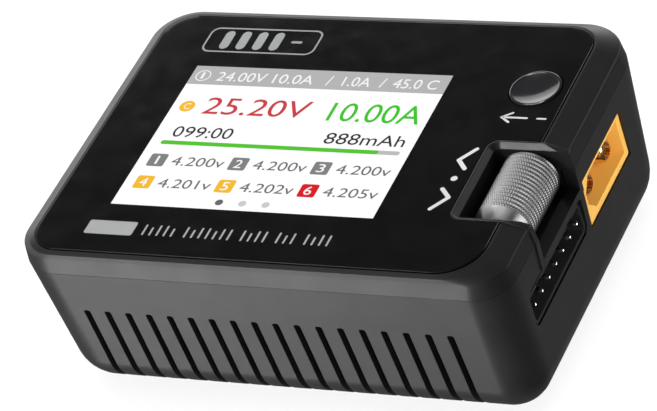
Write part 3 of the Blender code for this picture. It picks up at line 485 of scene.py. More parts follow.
# ---- case ----
def wall_outline(z, distance):
    """Return the case's outline below the crease, moved inwards by a distance."""
    depth = CREASE_Z - z
    leaning = Outline(CREASE.left + SIDE_DRAFT * depth, CREASE.right - SIDE_DRAFT * depth,
                      CREASE.front + FRONT_DRAFT * depth, CREASE.back - SIDE_DRAFT * depth,
                      *CREASE[4:])
    return inset(leaning, distance)


def tub_corners(thickness):
    """List the tub's sections from its floor up the rounded edge, without the top."""
    radius = SOLE_ROUND - thickness
    corners = []
    for step in range(ROUND_STEPS + 1):
        angle = math.pi / 2 * (1 - step / ROUND_STEPS)
        z = SOLE_Z + thickness + radius * (1 - math.sin(angle))
        corners.append((z, wall_outline(z, thickness + radius * (1 - math.cos(angle))), 0))
    return corners


def pocket_collar(low_z, sections):
    """Make the raised rim of the roller's pocket, which follows the case's outside."""
    plan = inset(POCKET, -POCKET_RIM)._replace(back_left=1.7 * MM, front_left=1.5 * MM)
    plan = plan._replace(right=POCKET.right)
    grown = [(z, inset(shape, -RIM_RAISE)) for z, shape in sections]
    grown[-1] = (grown[-1][0] + RIM_RAISE, grown[-1][1])
    collar = boolean(loft([(low_z, plan), (TOP_Z + MM, plan)], 6), [loft(grown)], "INTERSECT")
    outer_edge = within((-1, -1, low_z + 0.3 * MM), (1, 1, 1))
    soften(collar, 0.14 * MM, outer_edge, 3, math.radians(55))
    return collar


def pocket_space():
    """Make the room that the roller turns in, wider towards its mouth."""
    top = LIP_Z + RIM_RAISE
    return loft([(POCKET_FLOOR, POCKET), (top - POCKET_MOUTH, POCKET),
                 (top, inset(POCKET, -POCKET_MOUTH)),
                 (top + 0.6 * MM, inset(POCKET, -POCKET_MOUTH - 0.6 * MM))], 6)


def pocket_mouth_edges():
    """Make a test for the edges round the pocket's mouth."""
    reach = POCKET_MOUTH + 0.02 * MM
    low = (POCKET.left - reach, POCKET.front - reach, POCKET_SILL - 0.02 * MM)
    high = (POCKET.right, POCKET.back + reach, TOP_Z + MM)
    return within(low, high)


def button_hole(low_z):
    """Make the hole that the exit button stands in."""
    return post(BUTTON_RADIUS + 0.15 * MM, BUTTON_X, BUTTON_Y, low_z, TOP_Z + MM, 64)


def upper_sections():
    """List the upper half's sections: from inside, under the crease, up and over to the seat."""
    lip_drop = CREASE_Z - 1.5 * MM
    inside, inner_lip = inset(CREASE, WALL + 1.5 * MM), inset(CREASE, WALL + 0.5 * MM)
    seat = inset(PANEL, -0.12 * MM)
    chamfer_z, below_lip = between((LIP_Z, LIP), (RIM_Z, RIM), 0.28)
    lip_edge = LIP._replace(front=UPPER_LOW.y + 0.9 * MM)
    return filleted([(ROOF_Z, inset(RIM, WALL + 1.5 * MM), 0), (lip_drop, inside, 0),
                     (lip_drop, inner_lip, 0), (CREASE_Z + SEAM, inner_lip, 0),
                     (CREASE_Z + SEAM, CREASE, 0.05 * MM), (RIM_Z, RIM, RIM_ROUND),
                     (chamfer_z, below_lip, 0.1 * MM), (LIP_Z, lip_edge, 0.03 * MM),
                     (LIP_Z, seat, 0.05 * MM), (SEAT_Z, seat, 0)])


def upper_openings():
    """Make cutters for the screen, the button and the roller's axle."""
    half_width, half_height, half_slot = 22.2 * MM, 17.1 * MM, 1.1 * MM
    window = box((SCREEN_X - half_width, SCREEN_Y - half_height, ROOF_Z - MM),
                 (SCREEN_X + half_width, SCREEN_Y + half_height, TOP_Z))
    axle_slot = box((ROLLER_X - half_slot - 0.5 * MM, POCKET.front - 2 * MM, ROLLER_Z - half_slot),
                    (ROLLER_X + half_slot, POCKET.back + 2 * MM, ROLLER_Z + half_slot))
    return [window, button_hole(ROOF_Z - MM), axle_slot]


def build_upper_shell():
    """Make the upper half: side band, sloping border, panel seat and roller pocket."""
    outside = filleted([(CREASE_Z + SEAM, CREASE, 0), (RIM_Z, RIM, RIM_ROUND),
                        (LIP_Z, inset(PANEL, -0.2 * MM), 0)])
    plan = inset(POCKET, -POCKET_RIM)._replace(right=END_INSIDE + 1.6 * MM)
    block = loft([(POCKET_FLOOR - 0.5 * MM, plan), (ROOF_Z + 0.6 * MM, plan)], 6)
    shell = loft(upper_sections())
    for added in (pocket_collar(CREASE_Z + SEAM, outside), block):
        shell = boolean(shell, [added], "UNION")
    shell = carve(shell, [pocket_space()], upper_openings())
    soften(shell, 0.13 * MM, pocket_mouth_edges(), 2, math.radians(20))
    piece("upper_shell", shell, CASE, replaces=["upper_housing"])


def slot_row(side):
    """Make the row of slot cutters for the front (-1) or the rear (1) wall."""
    half, round_top = SLOT_WIDTH / 2, 0.22 * MM
    slots = []
    for number in range(SLOT_COUNT):
        x = SLOT_FIRST_X + number * SLOT_PITCH
        points = [(x - half, SOLE_Z - MM), (x + half, SOLE_Z - MM),
                  (x + half, SLOT_TOP_Z - round_top), (x + half - round_top, SLOT_TOP_Z),
                  (x - half + round_top, SLOT_TOP_Z), (x - half, SLOT_TOP_Z - round_top)]
        slots.append(prism(points, "Y", side * SLOT_INNER_Y, side * (UPPER_HIGH.y + MM)))
    return slots


def end_profile(low, high, cut, shrink=0.0, above=0.0):
    """List a box's outline seen along X, made smaller, with its corners cut off."""
    left, right = low.y + shrink, high.y - shrink
    bottom, top = low.z + shrink, high.z - shrink + above
    return [(left + cut, bottom), (right - cut, bottom), (right, bottom + cut),
            (right, top - cut), (right - cut, top), (left + cut, top),
            (left, top - cut), (left, bottom + cut)]


def end_openings():
    """Make cutters for the four sockets in the end walls."""
    cutters = []
    for node, side, corner, above in (
            ("output_connector", 1, 0.12, 0.0), ("input_connector", -1, 0.12, 0.0),
            ("balance_header", 1, 0.9, 0.75), ("usb_shell", -1, 0.6, 0.0)):
        points = end_profile(*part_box(node), corner * MM, -0.15 * MM, above * MM)
        cutters.append(prism(points, "X", side * END_INSIDE, side * END_BEYOND))
    return cutters


def capsule(x_reach, y, half_width):
    """List a slot's outline with round ends."""
    points = []
    for end, centre in ((1, x_reach - half_width), (-1, half_width - x_reach)):
        for step in range(9):
            angle = math.pi * (step / 8 - 0.5)
            points.append((centre + end * half_width * math.cos(angle),
                           y + end * half_width * math.sin(angle)))
    return points


def grille_cutters():
    """Make the slots under the fan."""
    reach, pitch = 12.7 * MM, 2.8 * MM
    cutters = []
    for row in range(-4, 5):
        y = row * pitch
        points = capsule(math.sqrt(reach ** 2 - y ** 2), y, 0.8 * MM)
        cutters.append(prism(points, "Z", SOLE_Z - MM, SOLE_Z + WALL + MM))
    return cutters


def screw_spots():
    """List the four case screws' places."""
    return [middle(f"case_screw_{number}")[:2] for number in CORNERS]


def lower_collar(top):
    """Make the foot of the pocket's collar, which runs down over the crease."""
    plan = inset(POCKET, -POCKET_RIM)._replace(left=35.9 * MM, right=POCKET.right,
                                               back_left=0.05 * MM, front_left=0.05 * MM)
    grown = [(z, inset(wall_outline(z, 0.0), -RIM_RAISE)) for z in (POCKET_SILL - 4 * MM, top)]
    return boolean(loft([(POCKET_SILL - POCKET_RIM, plan), (top, plan)], 2), [loft(grown)],
                   "INTERSECT")


def screw_posts():
    """Make the bosses round the case screws, and the cutters for their bores and seats."""
    board_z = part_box("main_board")[0].z - 0.3 * MM
    below = SOLE_Z - MM
    return [[post(radius, x, y, low, high) for x, y in screw_spots()]
            for radius, low, high in ((2.5 * MM, SOLE_Z + MM, board_z),
                                      (1.3 * MM, below, board_z + MM),
                                      (2.1 * MM, below, 3.0 * MM))]


def distance_outside(point):
    """Return roughly how far a point is outside the tub's outer skin; inside is negative."""
    depth = CREASE_Z - point.z
    wall = abs(point.y) - (UPPER_HIGH.y - (FRONT_DRAFT if point.y < 0 else SIDE_DRAFT) * depth)
    rise = point.z - SOLE_Z
    if rise >= SOLE_ROUND:
        return wall
    return math.hypot(wall + SOLE_ROUND, SOLE_ROUND - rise) - SOLE_ROUND


def soften_openings(shell):
    """Round the outer edges of the tub's slots and of its sockets' openings."""
    slots = [within((-31 * MM, low, 0), (29 * MM, high, SLOT_TOP_Z + MM))
             for low, high in ((-29 * MM, -20 * MM), (20 * MM, 29 * MM))]
    ends = [within((low, -23 * MM, 13 * MM), (high, 18 * MM, 26 * MM))
            for low, high in ((36 * MM, END_BEYOND), (-END_BEYOND, -36 * MM))]

    def slot_edge(edge):
        """Pick the slots' outer edges, which lie on the case's outside."""
        return (any(test(edge) for test in slots)
                and all(distance_outside(vert.co) > -0.3 * MM for vert in edge.verts))

    soften(shell, 0.1 * MM, slot_edge)
    soften(shell, 0.12 * MM, lambda edge: any(test(edge) for test in ends))


def build_lower_shell():
    """Make the vented tub with its bosses, sockets' openings and grille."""
    top = CREASE_Z - SEAM / 2
    corners = tub_corners(0.0)
    corners += [(top, wall_outline(top, 0.0), 0.05 * MM), (top, wall_outline(top, WALL), 0)]
    corners += reversed(tub_corners(WALL))
    bosses, bores, seats = screw_posts()
    mouth = box((END_INSIDE, POCKET.front, POCKET_SILL), (END_BEYOND, POCKET.back, CREASE_Z + MM))
    openings = slot_row(-1) + slot_row(1) + end_openings() + grille_cutters() + [mouth]
    shell = loft(filleted(corners))
    for added in (bosses, [lower_collar(top)]):
        shell = boolean(shell, added, "UNION")
    shell = carve(shell, openings, bores, seats)
    soften_openings(shell)
    piece("lower_shell", shell, CASE, replaces=["lower_housing"])


def build_front_panel():
    """Make the acrylic panel: notch for the roller, button hole and screen window."""
    edge = 0.12 * MM
    shell = loft(filleted([(PANEL_LOW.z, PANEL, 0), (TOP_Z, PANEL, edge),
                           (TOP_Z, inset(PANEL, MM), 0)]))
    collar = inset(POCKET, -POCKET_RIM - 0.08 * MM)._replace(
        right=POCKET.right, back_left=1.8 * MM, front_left=1.6 * MM)
    notch = loft([(PANEL_LOW.z - MM, collar), (TOP_Z + MM, collar)], 8)
    window = box((SCREEN_X - SCREEN_WIDTH / 2, SCREEN_Y - SCREEN_HEIGHT / 2, PANEL_LOW.z - MM),
                 (SCREEN_X + SCREEN_WIDTH / 2, SCREEN_Y + SCREEN_HEIGHT / 2, TOP_Z + MM))
    shell = boolean(shell, [notch, button_hole(PANEL_LOW.z - MM), window])
    cut_edges = within((20 * MM, -20 * MM, TOP_Z - 0.01 * MM), (40 * MM, 20 * MM, TOP_Z + MM))
    soften(shell, 0.1 * MM, cut_edges, 2, math.radians(60))
    piece("front_sheet", shell, PANEL_LOOK, replaces=["front_panel"])


# ---- display ----
def rounded_plate(left, right, front, back, radius, low, high):
    """Make a thin rounded rectangle."""
    shape = outline(left, right, front, back, radius)
    return loft([(low, shape), (high, shape)], 5)


def lettering(text, left, right, base, height, z):
    """Make flat raised characters that fill a space above a base line."""
    curve = bpy.data.curves.new("characters", "FONT")
    curve.body = text
    curve.size = 1.0
    curve.extrude = 0.5
    curve.resolution_u = 4
    item = bpy.data.objects.new("characters", curve)
    bpy.context.scene.collection.objects.link(item)
    graph = bpy.context.evaluated_depsgraph_get()
    shape = bmesh.new()
    shape.from_mesh(item.evaluated_get(graph).to_mesh())
    bpy.data.objects.remove(item)
    bpy.data.curves.remove(curve)
    bmesh.ops.remove_doubles(shape, verts=shape.verts, dist=1e-5)
    low = [min(vert.co[k] for vert in shape.verts) for k in range(3)]
    high = [max(vert.co[k] for vert in shape.verts) for k in range(3)]
    wide, tall = (right - left) / (high[0] - low[0]), height / (high[1] - low[1])
    shape.transform(Matrix.Translation((left, base, z))
                    @ Matrix.Diagonal((wide, tall, 0.02 * MM, 1.0))
                    @ Matrix.Translation([-value for value in low]))
    return shape


def screen_text(text, left, right, base, height, z):
    """Make characters on the display; the places are shares of its width and height."""
    x, y = on_screen(left, base)
    return lettering(text, x, on_screen(right, base)[0], y, height * SCREEN_HEIGHT, z)


def on_screen(across, up):
    """Turn shares of the display's width and height into a place on it."""
    return (SCREEN_X + (across - 0.5) * SCREEN_WIDTH, SCREEN_Y + (up - 0.5) * SCREEN_HEIGHT)


def patch(name, shape, look, colour):
    """Make one flat lit patch of the display."""
    piece(f"display_{name}", shape, lit(f"display_{look}", colour), flat=True)


def build_display():
    """Make the display's lit picture: readings, a progress bar and six cell badges."""
    low, high = PICTURE_Z, PICTURE_Z + 0.02 * MM
    left, front = on_screen(0, 0)
    right, back = on_screen(1, 1)
    piece("display_picture", box((left, front, GLASS_LOW.z), (right, back, low)),
          lit("display_white", grey(1.0)), replaces=["screen_glass"],
          flat=True)
    bar_y = on_screen(0, 0.866)[1]
    patch("top_bar", box((left, bar_y, low), (right, back, high)), "grey_bar", grey(0.46))
    x, y = on_screen(0.047, 0.929)
    radius, line = 1.2 * MM, 0.16 * MM
    status = [hoop(circle(radius, 40, x, y), circle(radius - line, 40, x, y), high,
                   high + 0.02 * MM), screen_text("1", 0.041, 0.051, 0.907, 0.045, high)]
    for text, start, end in (("24.00V", 0.106, 0.298), ("10.0A", 0.328, 0.485),
                             ("/", 0.538, 0.556), ("1.0A", 0.600, 0.707),
                             ("/", 0.745, 0.763), ("45.0 C", 0.794, 0.964)):
        status.append(screen_text(text, start, end, 0.895, 0.066, high))
    patch("status", merged(status), "status_white", grey(0.9))
    build_readings(low, high)
    build_cells(low, high)


def build_readings(low, high):
    """Make the large readings, the time and charge, and the progress bar."""
    badge = post(1.2 * MM, *on_screen(0.059, 0.704), low, high)
    patch("mode_badge", badge, "amber", (0.93, 0.50, 0.04))
    for name, text, place, z, look, colour in (
            ("mode_mark", "C", (0.047, 0.071, 0.683, 0.042), high, "mark_pale", (1.0, 0.90, 0.62)),
            ("volts", "25.20V", (0.128, 0.536, 0.655, 0.12), low, "red", (0.60, 0.05, 0.06)),
            ("amps", "10.00A", (0.618, 0.969, 0.645, 0.131), low, "green", (0.05, 0.56, 0.02))):
        patch(name, screen_text(text, *place, z), look, colour)
    counts = [screen_text("099:00", 0.068, 0.300, 0.484, 0.076, low),
              screen_text("888mAh", 0.657, 0.961, 0.486, 0.077, low)]
    patch("counts", merged(counts), "black", (0.035, 0.035, 0.04))
    start, split, end = (on_screen(across, 0)[0] for across in (0.044, 0.884, 0.964))
    base, crest = on_screen(0, 0.429)[1], on_screen(0, 0.456)[1]
    radius = (crest - base) / 2
    rest = rounded_plate(split - MM, end, base, crest, radius, low, high)
    patch("bar_rest", rest, "bar_grey", grey(0.50))
    done = rounded_plate(start, split, base, crest, radius, low, high + 0.005 * MM)
    patch("bar_done", done, "bar_green", (0.09, 0.55, 0.03))


def build_cells(low, high):
    """Make the six numbered badges and their readings."""
    colours = {"grey": grey(0.22), "amber": (0.90, 0.50, 0.03), "red": (0.70, 0.01, 0.02)}
    cells = [("4.200v", "grey"), ("4.200v", "grey"), ("4.200v", "grey"),
             ("4.201v", "amber"), ("4.202v", "amber"), ("4.205v", "red")]
    groups = {name: [] for name in colours}
    numbers, readings = [], []
    half, corner = 1.35 * MM, 0.35 * MM
    for place, (reading, colour) in enumerate(cells):
        across, up = 0.074 + 0.317 * (place % 3), 0.316 - 0.156 * (place // 3)
        x, y = on_screen(across, up)
        groups[colour].append(rounded_plate(x - half, x + half, y - half, y + half, corner,
                                            low, high))
        wide = 0.014 if place else 0.004
        numbers.append(screen_text(str(place + 1), across - wide, across + wide, up - 0.028,
                                   0.056, high))
        readings.append(screen_text(reading, across + 0.058, across + 0.262, up - 0.032,
                                    0.062, low))
    for name, plates in groups.items():
        patch(f"badges_{name}", merged(plates), f"badge_{name}", colours[name])
    patch("numbers", merged(numbers), "number_white", grey(0.95))
    patch("cell_volts", merged(readings), "text_grey", (0.16, 0.16, 0.17))
    build_page_dots(low, high)


def build_page_dots(low, high):
    """Make the three dots that show which page is up."""
    dots = [lit("display_dot_dark", (0.14, 0.14, 0.15)),
            lit("display_dot_pale", (0.60, 0.60, 0.62))]
    for number in range(3):
        dot = post(0.6 * MM, *on_screen(0.405 + 0.089 * number, 0.049), low, high)
        piece(f"display_dot_{number + 1}", dot, dots[min(number, 1)], flat=True)


# ---- printed marks ----
def stroke(points, width, low, high, steps=6):
    """Make one printed line with round ends and joints."""
    parts = []
    for (x0, y0), (x1, y1) in zip(points, points[1:]):
        angle = math.atan2(y1 - y0, x1 - x0)
        edge = []
        for x, y, turn in ((x1, y1, -0.5), (x0, y0, 0.5)):
            for step in range(steps + 1):
                way = angle + math.pi * (turn + step / steps)
                edge.append((x + width / 2 * math.cos(way), y + width / 2 * math.sin(way)))
        parts.append(prism(edge, "Z", low, high))
    if len(parts) > 1:
        return [boolean(parts[0], parts[1:], "UNION")]
    return parts


def strokes(lines, width, low, high):
    """Make several printed lines from places in millimetres."""
    made = []
    for line in lines:
        made += stroke([(x * MM, y * MM) for x, y in line], width, low, high)
    return made


def build_panel_marks():
    """Print plain marks on the panel: a battery outline, ticks, arrows and a return sign."""
    low, high = TOP_Z, TOP_Z + 0.012 * MM
    plan = outline(-27.0 * MM, -8.7 * MM, 16.9 * MM, 22.5 * MM, 1.4 * MM)
    border = hoop(outline_points(plan, 8), outline_points(inset(plan, 0.28 * MM), 8), low, high)
    piece("panel_mark_frame", border, DIM_INK, flat=True)
    bars_x = [-23.6 + 2.7 * number for number in range(4)]
    cells = strokes([((x, 18.4), (x, 21.0)) for x in bars_x], 1.5 * MM, low, high)
    cells += strokes([((-12.9, 19.7), (-11.6, 19.7))], 0.5 * MM, low, high)
    piece("panel_mark_cells", merged(cells), DIM_INK, flat=True)
    chevrons = strokes([((24.6, -1.7), (22.8, -4.15), (24.35, -5.9)),
                        ((22.7, -10.2), (24.3, -11.9), (22.5, -14.4))], 0.62 * MM, low, high)
    chevrons.append(post(0.5 * MM, 23.6 * MM, -8.0 * MM, low, high))
    piece("panel_mark_arrows", merged(chevrons), INK, flat=True)
    sign = strokes([((27.0, 6.2), (25.6, 5.2), (27.0, 4.2)), ((25.9, 5.2), (29.4, 5.2)),
                    ((31.0, 5.2), (32.2, 5.2))], 0.34 * MM, low, high)
    piece("panel_mark_return", merged(sign), INK, flat=True)
    build_tick_row(low, high)


def build_tick_row(low, high):
    """Print a badge and groups of plain bars along the panel's front edge."""
    badge = rounded_plate(-27.2 * MM, -19.6 * MM, -23.3 * MM, -20.5 * MM, 0.35 * MM, low, high)
    piece("panel_mark_badge", badge, DIM_INK, flat=True)
    bars = []
    x = -18.0 * MM
    base, crest = -22.9 * MM, -21.0 * MM
    for count in (5, 7, 4, 3, 4):
        for number in range(count):
            tall = crest if number % 3 != 1 else crest - 0.5 * MM
            bars += stroke([(x, base), (x, tall)], 0.3 * MM, low, high, 4)
            x += 1.12 * MM
        x += 0.95 * MM
    piece("panel_mark_bars", merged(bars), DIM_INK, flat=True)


# ---- controls ----
def build_exit_button():
    """Make the dished glossy button."""
    low, top = (corner.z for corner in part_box("exit_button"))
    rim = BUTTON_RADIUS - 0.55 * MM
    dish, lip = 0.46 * MM, 0.15 * MM
    steps = 14
    profile = [(rim * k / steps, top - lip - dish * (1 - (k / steps) ** 2))
               for k in range(steps + 1)]
    for step in range(1, 9):
        angle = math.pi * step / 8
        profile.append((rim + 0.24 * MM * (1 - math.cos(angle)),
                        top - lip + lip * math.sin(angle)))
    skirt = ROOF_Z - 0.3 * MM
    profile += [(BUTTON_RADIUS, skirt), (BUTTON_RADIUS + 0.8 * MM, skirt),
                (BUTTON_RADIUS + 0.8 * MM, low), (0.0, low)]
    shape = turned(profile, Matrix.Translation((BUTTON_X, BUTTON_Y, 0.0)), 96)
    piece("exit_key_cap", shape, BUTTON_LOOK, body="exit_key", replaces=["exit_button"])


def knurl_radius(along, angle, start, end):
    """Return the knurled sleeve's radius at a place along and round it."""
    lean = 0.10 * RING_PITCH * math.sin(TEETH * angle)
    turn = 2 * math.pi * (along - start + lean) / RING_PITCH
    groove = (0.5 + 0.5 * math.cos(turn)) ** 1.4
    notch = 0.5 + 0.5 * math.cos(TEETH * angle + 0.8)
    fade = min(1.0, (along - start) / (0.2 * MM), (end - along) / (0.2 * MM))
    depth = 0.18 * MM * groove + 0.004 * MM * notch * (1 - groove)
    return ROLLER_RADIUS - depth * max(0.0, fade)


def build_roller():
    """Make the sleeve: ring ridges crossed by fine teeth between two polished cones."""
    front, back = ROLLER_LOW.y, ROLLER_HIGH.y
    start, end = front + 1.75 * MM, back - 1.0 * MM
    rounds, around = round((end - start) / RING_PITCH) * 10, TEETH * 6
    tip, bore = ROLLER_RADIUS - 0.9 * MM, ROLLER_RADIUS - 1.3 * MM
    edge, blunt = 0.08 * MM, tip - 0.1 * MM
    places = [(front, bore), (front, blunt), (front + edge, tip)]
    places += [(start + (end - start) * k / rounds, None) for k in range(rounds + 1)]
    places += [(back - edge, tip), (back, blunt), (back, bore)]
    shape = bmesh.new()
    rings = []
    for y, plain in places:
        rings.append([])
        for k in range(around):
            angle = 2 * math.pi * k / around
            radius = plain or knurl_radius(y, angle, start, end)
            rings[-1].append(shape.verts.new((ROLLER_X + radius * math.cos(angle), y,
                                              ROLLER_Z + radius * math.sin(angle))))
    skin(shape, rings, caps=False)
    bmesh.ops.recalc_face_normals(shape, faces=shape.faces)
    item = piece("roller_knurl", shape, ROLLER_LOOK, body="roller",
                 replaces=["roller_sleeve"])
    item.modifiers.clear()


# ---- sockets ----
def socket_cavity(low, high):
    """List the outline of a power socket's inside, with two corners cut for polarity."""
    wall, corner = 1.1 * MM, 2.0 * MM
    left, right, bottom, top = low.y + wall, high.y - wall, low.z + wall, high.z - wall
    return [(left + corner, bottom), (right, bottom), (right, top), (left + corner, top),
            (left, top - corner), (left, bottom + corner)]


def build_power_socket(side, label):
    """Make a power socket's yellow body with its two split bullet contacts."""
    low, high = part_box(f"{label}_connector")
    face = side * max(abs(low.x), abs(high.x))
    inner = side * min(abs(low.x), abs(high.x))
    depth = 9.4 * MM
    middle_z = middle(f"{label}_connector")[2]
    nodes = {pole: f"{label}_contact_{pole}" for pole in ("positive", "negative")}
    bores = []
    for node in nodes.values():
        y = middle(node)[1]
        bores.append(cylinder(2.0 * MM, (inner - side * MM, y, middle_z),
                              (face - side * (depth - 0.5 * MM), y, middle_z)))
    cavity = prism(socket_cavity(low, high), "X", face - side * depth, face + side * MM)
    body = prism(end_profile(low, high, 0.25 * MM), "X", inner, face)
    body = carve(body, [cavity], bores)
    soften(body, 0.14 * MM, angle=math.radians(30))
    piece(f"{label}_socket_body", body, YELLOW, replaces=[f"{label}_connector"])
    for pole, node in nodes.items():
        build_bullet(f"{label}_bullet_{pole}", side, middle_z, node)


def build_bullet(name, side, z, node):
    """Make one gold bullet contact: a hollow split sleeve with a rounded tip."""
    low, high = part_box(node)
    y = middle(node)[1]
    radius, length = (high.y - low.y) / 2, high.x - low.x
    waist, hollow, bottom = radius - 0.12 * MM, 0.9 * MM, length - 5.5 * MM
    profile = [(0.0, 0.0), (radius, 0.0), (radius, length * 0.42), (waist, length * 0.44),
               (waist, length * 0.5), (radius, length * 0.56),
               (radius, length - 0.7 * MM), (waist, length - 0.35 * MM),
               (radius - 0.4 * MM, length - 0.08 * MM), (radius - 0.6 * MM, length),
               (hollow, length), (hollow, bottom), (0.0, bottom)]
    start = low.x if side > 0 else high.x
    turn = Matrix.Rotation(side * math.pi / 2, 4, "Y")
    body = turned(profile, Matrix.Translation((start, y, z)) @ turn, 48)
    reach, half = radius * 2, 0.22 * MM
    near, far = sorted((start + side * (length - 6.0 * MM), start + side * (length + MM)))
    upright = box((near, y - half, z - reach), (far, y + half, z + reach))
    level = box((near, y - reach, z - half), (far, y + reach, z + half))
    body = carve(body, [upright], [level])
    piece(name, body, GOLD, replaces=[node])


def build_balance_port():
    """Make the seven-pole header, open to the right, and its tapered square pins."""
    low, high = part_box("balance_header")
    wall, floor_x = 0.6 * MM, high.x - 6.2 * MM
    body = prism(end_profile(low, high, 0.7 * MM), "X", low.x, high.x)
    cavity = prism(end_profile(low, high, 0.3 * MM, wall), "X", floor_x, high.x + MM)
    keyways = [box((floor_x, y - 0.8 * MM, high.z - wall - 0.1 * MM),
                   (high.x + MM, y + 0.8 * MM, high.z - wall / 2))
               for y in (low.y + 4.0 * MM, high.y - 4.0 * MM)]
    holes = []
    for number in POLES:
        pin_low, pin_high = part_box(f"balance_pin_{number}")
        half = (pin_high.y - pin_low.y) / 2
        y, z = (pin_low.y + pin_high.y) / 2, pin_high.z - half
        room = half + 0.03 * MM
        holes.append(box((low.x - MM, y - room, z - room), (floor_x + MM, y + room, z + room)))
    body = carve(body, [cavity], keyways, holes)
    soften(body, 0.1 * MM, within((high.x - 0.1 * MM, -1, -1), (1, 1, 1)))
    piece("balance_socket_body", body, HEADER_LOOK, replaces=["balance_header"])
    for number in POLES:
        build_balance_pin(number)


def build_balance_pin(number):
    """Make one bent square pin with a tapered tip."""
    low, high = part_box(f"balance_pin_{number}")
    half = (high.y - low.y) / 2
    x, y, z = low.x + half, (low.y + high.y) / 2, high.z - half
    taper, bend = 0.55 * MM, 0.35 * MM
    down, corner, along = (1, 0), (0.72 * 1.38, -0.72 * 1.38), (0, -1)
    path = [((x, low.z), half, down), ((x, z - half - bend), half, down),
            ((x, z), half, corner), ((x + half + bend, z), half, along),
            ((high.x - taper, z), half, along), ((high.x, z), half * 0.45, along)]
    shape = bmesh.new()
    rings = []
    for (place, height), reach, across in path:
        rings.append([shape.verts.new((place + sign * across[0] * reach, y + wide * reach,
                                       height + sign * across[1] * reach))
                      for sign, wide in ((-1, -1), (1, -1), (1, 1), (-1, 1))])
    skin(shape, rings)
    bmesh.ops.recalc_face_normals(shape, faces=shape.faces)
    piece(f"balance_contact_{number}", shape, TIN, replaces=[f"balance_pin_{number}"],
          flat=True)


def build_usb_socket():
    """Make the charging socket's rolled steel shell, its tongue and four contact strips."""
    low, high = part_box("usb_shell")
    wall = 0.4 * MM
    shell = prism(end_profile(low, high, 0.5 * MM), "X", low.x, high.x)
    inside = prism(end_profile(low, high, 0.35 * MM, wall), "X", low.x - MM, high.x - wall)
    springs = [box((low.x + 3.0 * MM, y - 0.9 * MM, low.z - MM),
                   (low.x + 6.5 * MM, y + 0.9 * MM, low.z + wall / 2))
               for y in (low.y + 3.6 * MM, high.y - 3.6 * MM)]
    shell = carve(shell, [inside], springs)
    soften(shell, 0.08 * MM, within((-1, -1, -1), (low.x + 0.05 * MM, 1, 1)))
    piece("usb_socket_shell", shell, STEEL, replaces=["usb_shell"])
    low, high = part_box("usb_tongue")
    piece("usb_socket_tongue", box(low, high, 0.2 * MM), HEADER_LOOK,
          replaces=["usb_tongue"])
    centre = middle("usb_tongue")[1]
    strips = []
    for offset in (-3.5, -1.0, 1.0, 3.5):
        y = centre + offset * MM
        strips.append(box((low.x + 0.6 * MM, y - 0.5 * MM, low.z - 0.12 * MM),
                          (high.x - MM, y + 0.5 * MM, low.z + 0.1 * MM), 0.05 * MM, 1))
    piece("usb_contact_strips", merged(strips), GOLD)


# ---- underside ----
def build_screws():
    """Make the four case screws: threaded shank, domed head and a cross recess."""
    shank, root, pitch, seat = 0.72 * MM, 0.56 * MM, 0.6 * MM, 2.7 * MM
    arm, half = 1.0 * MM, 0.2 * MM
    for number, (x, y) in enumerate(screw_spots(), 1):
        low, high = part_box(f"case_screw_{number}")
        head = (high.x - low.x) / 2
        profile = [(0.0, low.z), (head * 0.55, low.z + 0.04 * MM),
                   (head * 0.85, low.z + 0.18 * MM), (head, low.z + 0.5 * MM),
                   (head, seat), (shank, seat)]
        z = seat + MM
        while z + pitch < high.z - 0.6 * MM:
            profile += [(shank, z), (root, z + pitch * 0.5)]
            z += pitch
        profile += [(shank, high.z - 0.5 * MM), (0.0, high.z)]
        body = turned(profile, Matrix.Translation((x, y, 0.0)), 32)
        cross = [box((x - wide, y - deep, low.z - MM), (x + wide, y + deep, low.z + 0.75 * MM))
                 for wide, deep in ((arm, half), (half, arm))]
        piece(f"screw_{number}", boolean(body, cross), SCREW_LOOK,
              replaces=[f"case_screw_{number}"])


def build_feet():
    """Make the four rubber feet, domed and ringed."""
    for number in CORNERS:
        node = f"rubber_foot_{number}"
        low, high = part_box(node)
        x, y, _ = middle(node)
        radius = (high.x - low.x) / 2
        groove = low.z + 0.06 * MM
        profile = [(0.0, low.z), (radius * 0.72, low.z), (radius * 0.74, groove),
                   (radius * 0.80, groove), (radius * 0.82, low.z),
                   (radius - 0.2 * MM, low.z), (radius - 0.05 * MM, low.z + 0.07 * MM),
                   (radius, low.z + 0.22 * MM), (radius, high.z), (0.0, high.z)]
        piece(f"foot_{number}", turned(profile, Matrix.Translation((x, y, 0.0)), 64), RUBBER,
              replaces=[node])


def fan_blade(turn, low, high, hub, tip):
    """Make one swept blade of the fan, which starts inside the hub."""
    slices, half_thick, root = 8, 0.3 * MM, hub - 0.3 * MM
    shape = bmesh.new()
    rings = []
    for k in range(slices + 1):
        share = k / slices
        radius = root + (tip - root) * share
        rings.append([])
        for along, side in ((0, -1), (0.5, -1), (1, -1), (1, 1), (0.5, 1), (0, 1)):
            angle = turn + 0.25 * share + (0.62 - 0.1 * share) * along
            lift = high - 0.3 * MM - (high - low - 0.6 * MM) * along ** 1.2
            z = lift + side * half_thick * (1.0 - 0.4 * abs(along - 0.5))
            rings[-1].append(shape.verts.new((radius * math.cos(angle),
                                              radius * math.sin(angle), z)))
    skin(shape, rings)
    bmesh.ops.recalc_face_normals(shape, faces=shape.faces)
    return shape


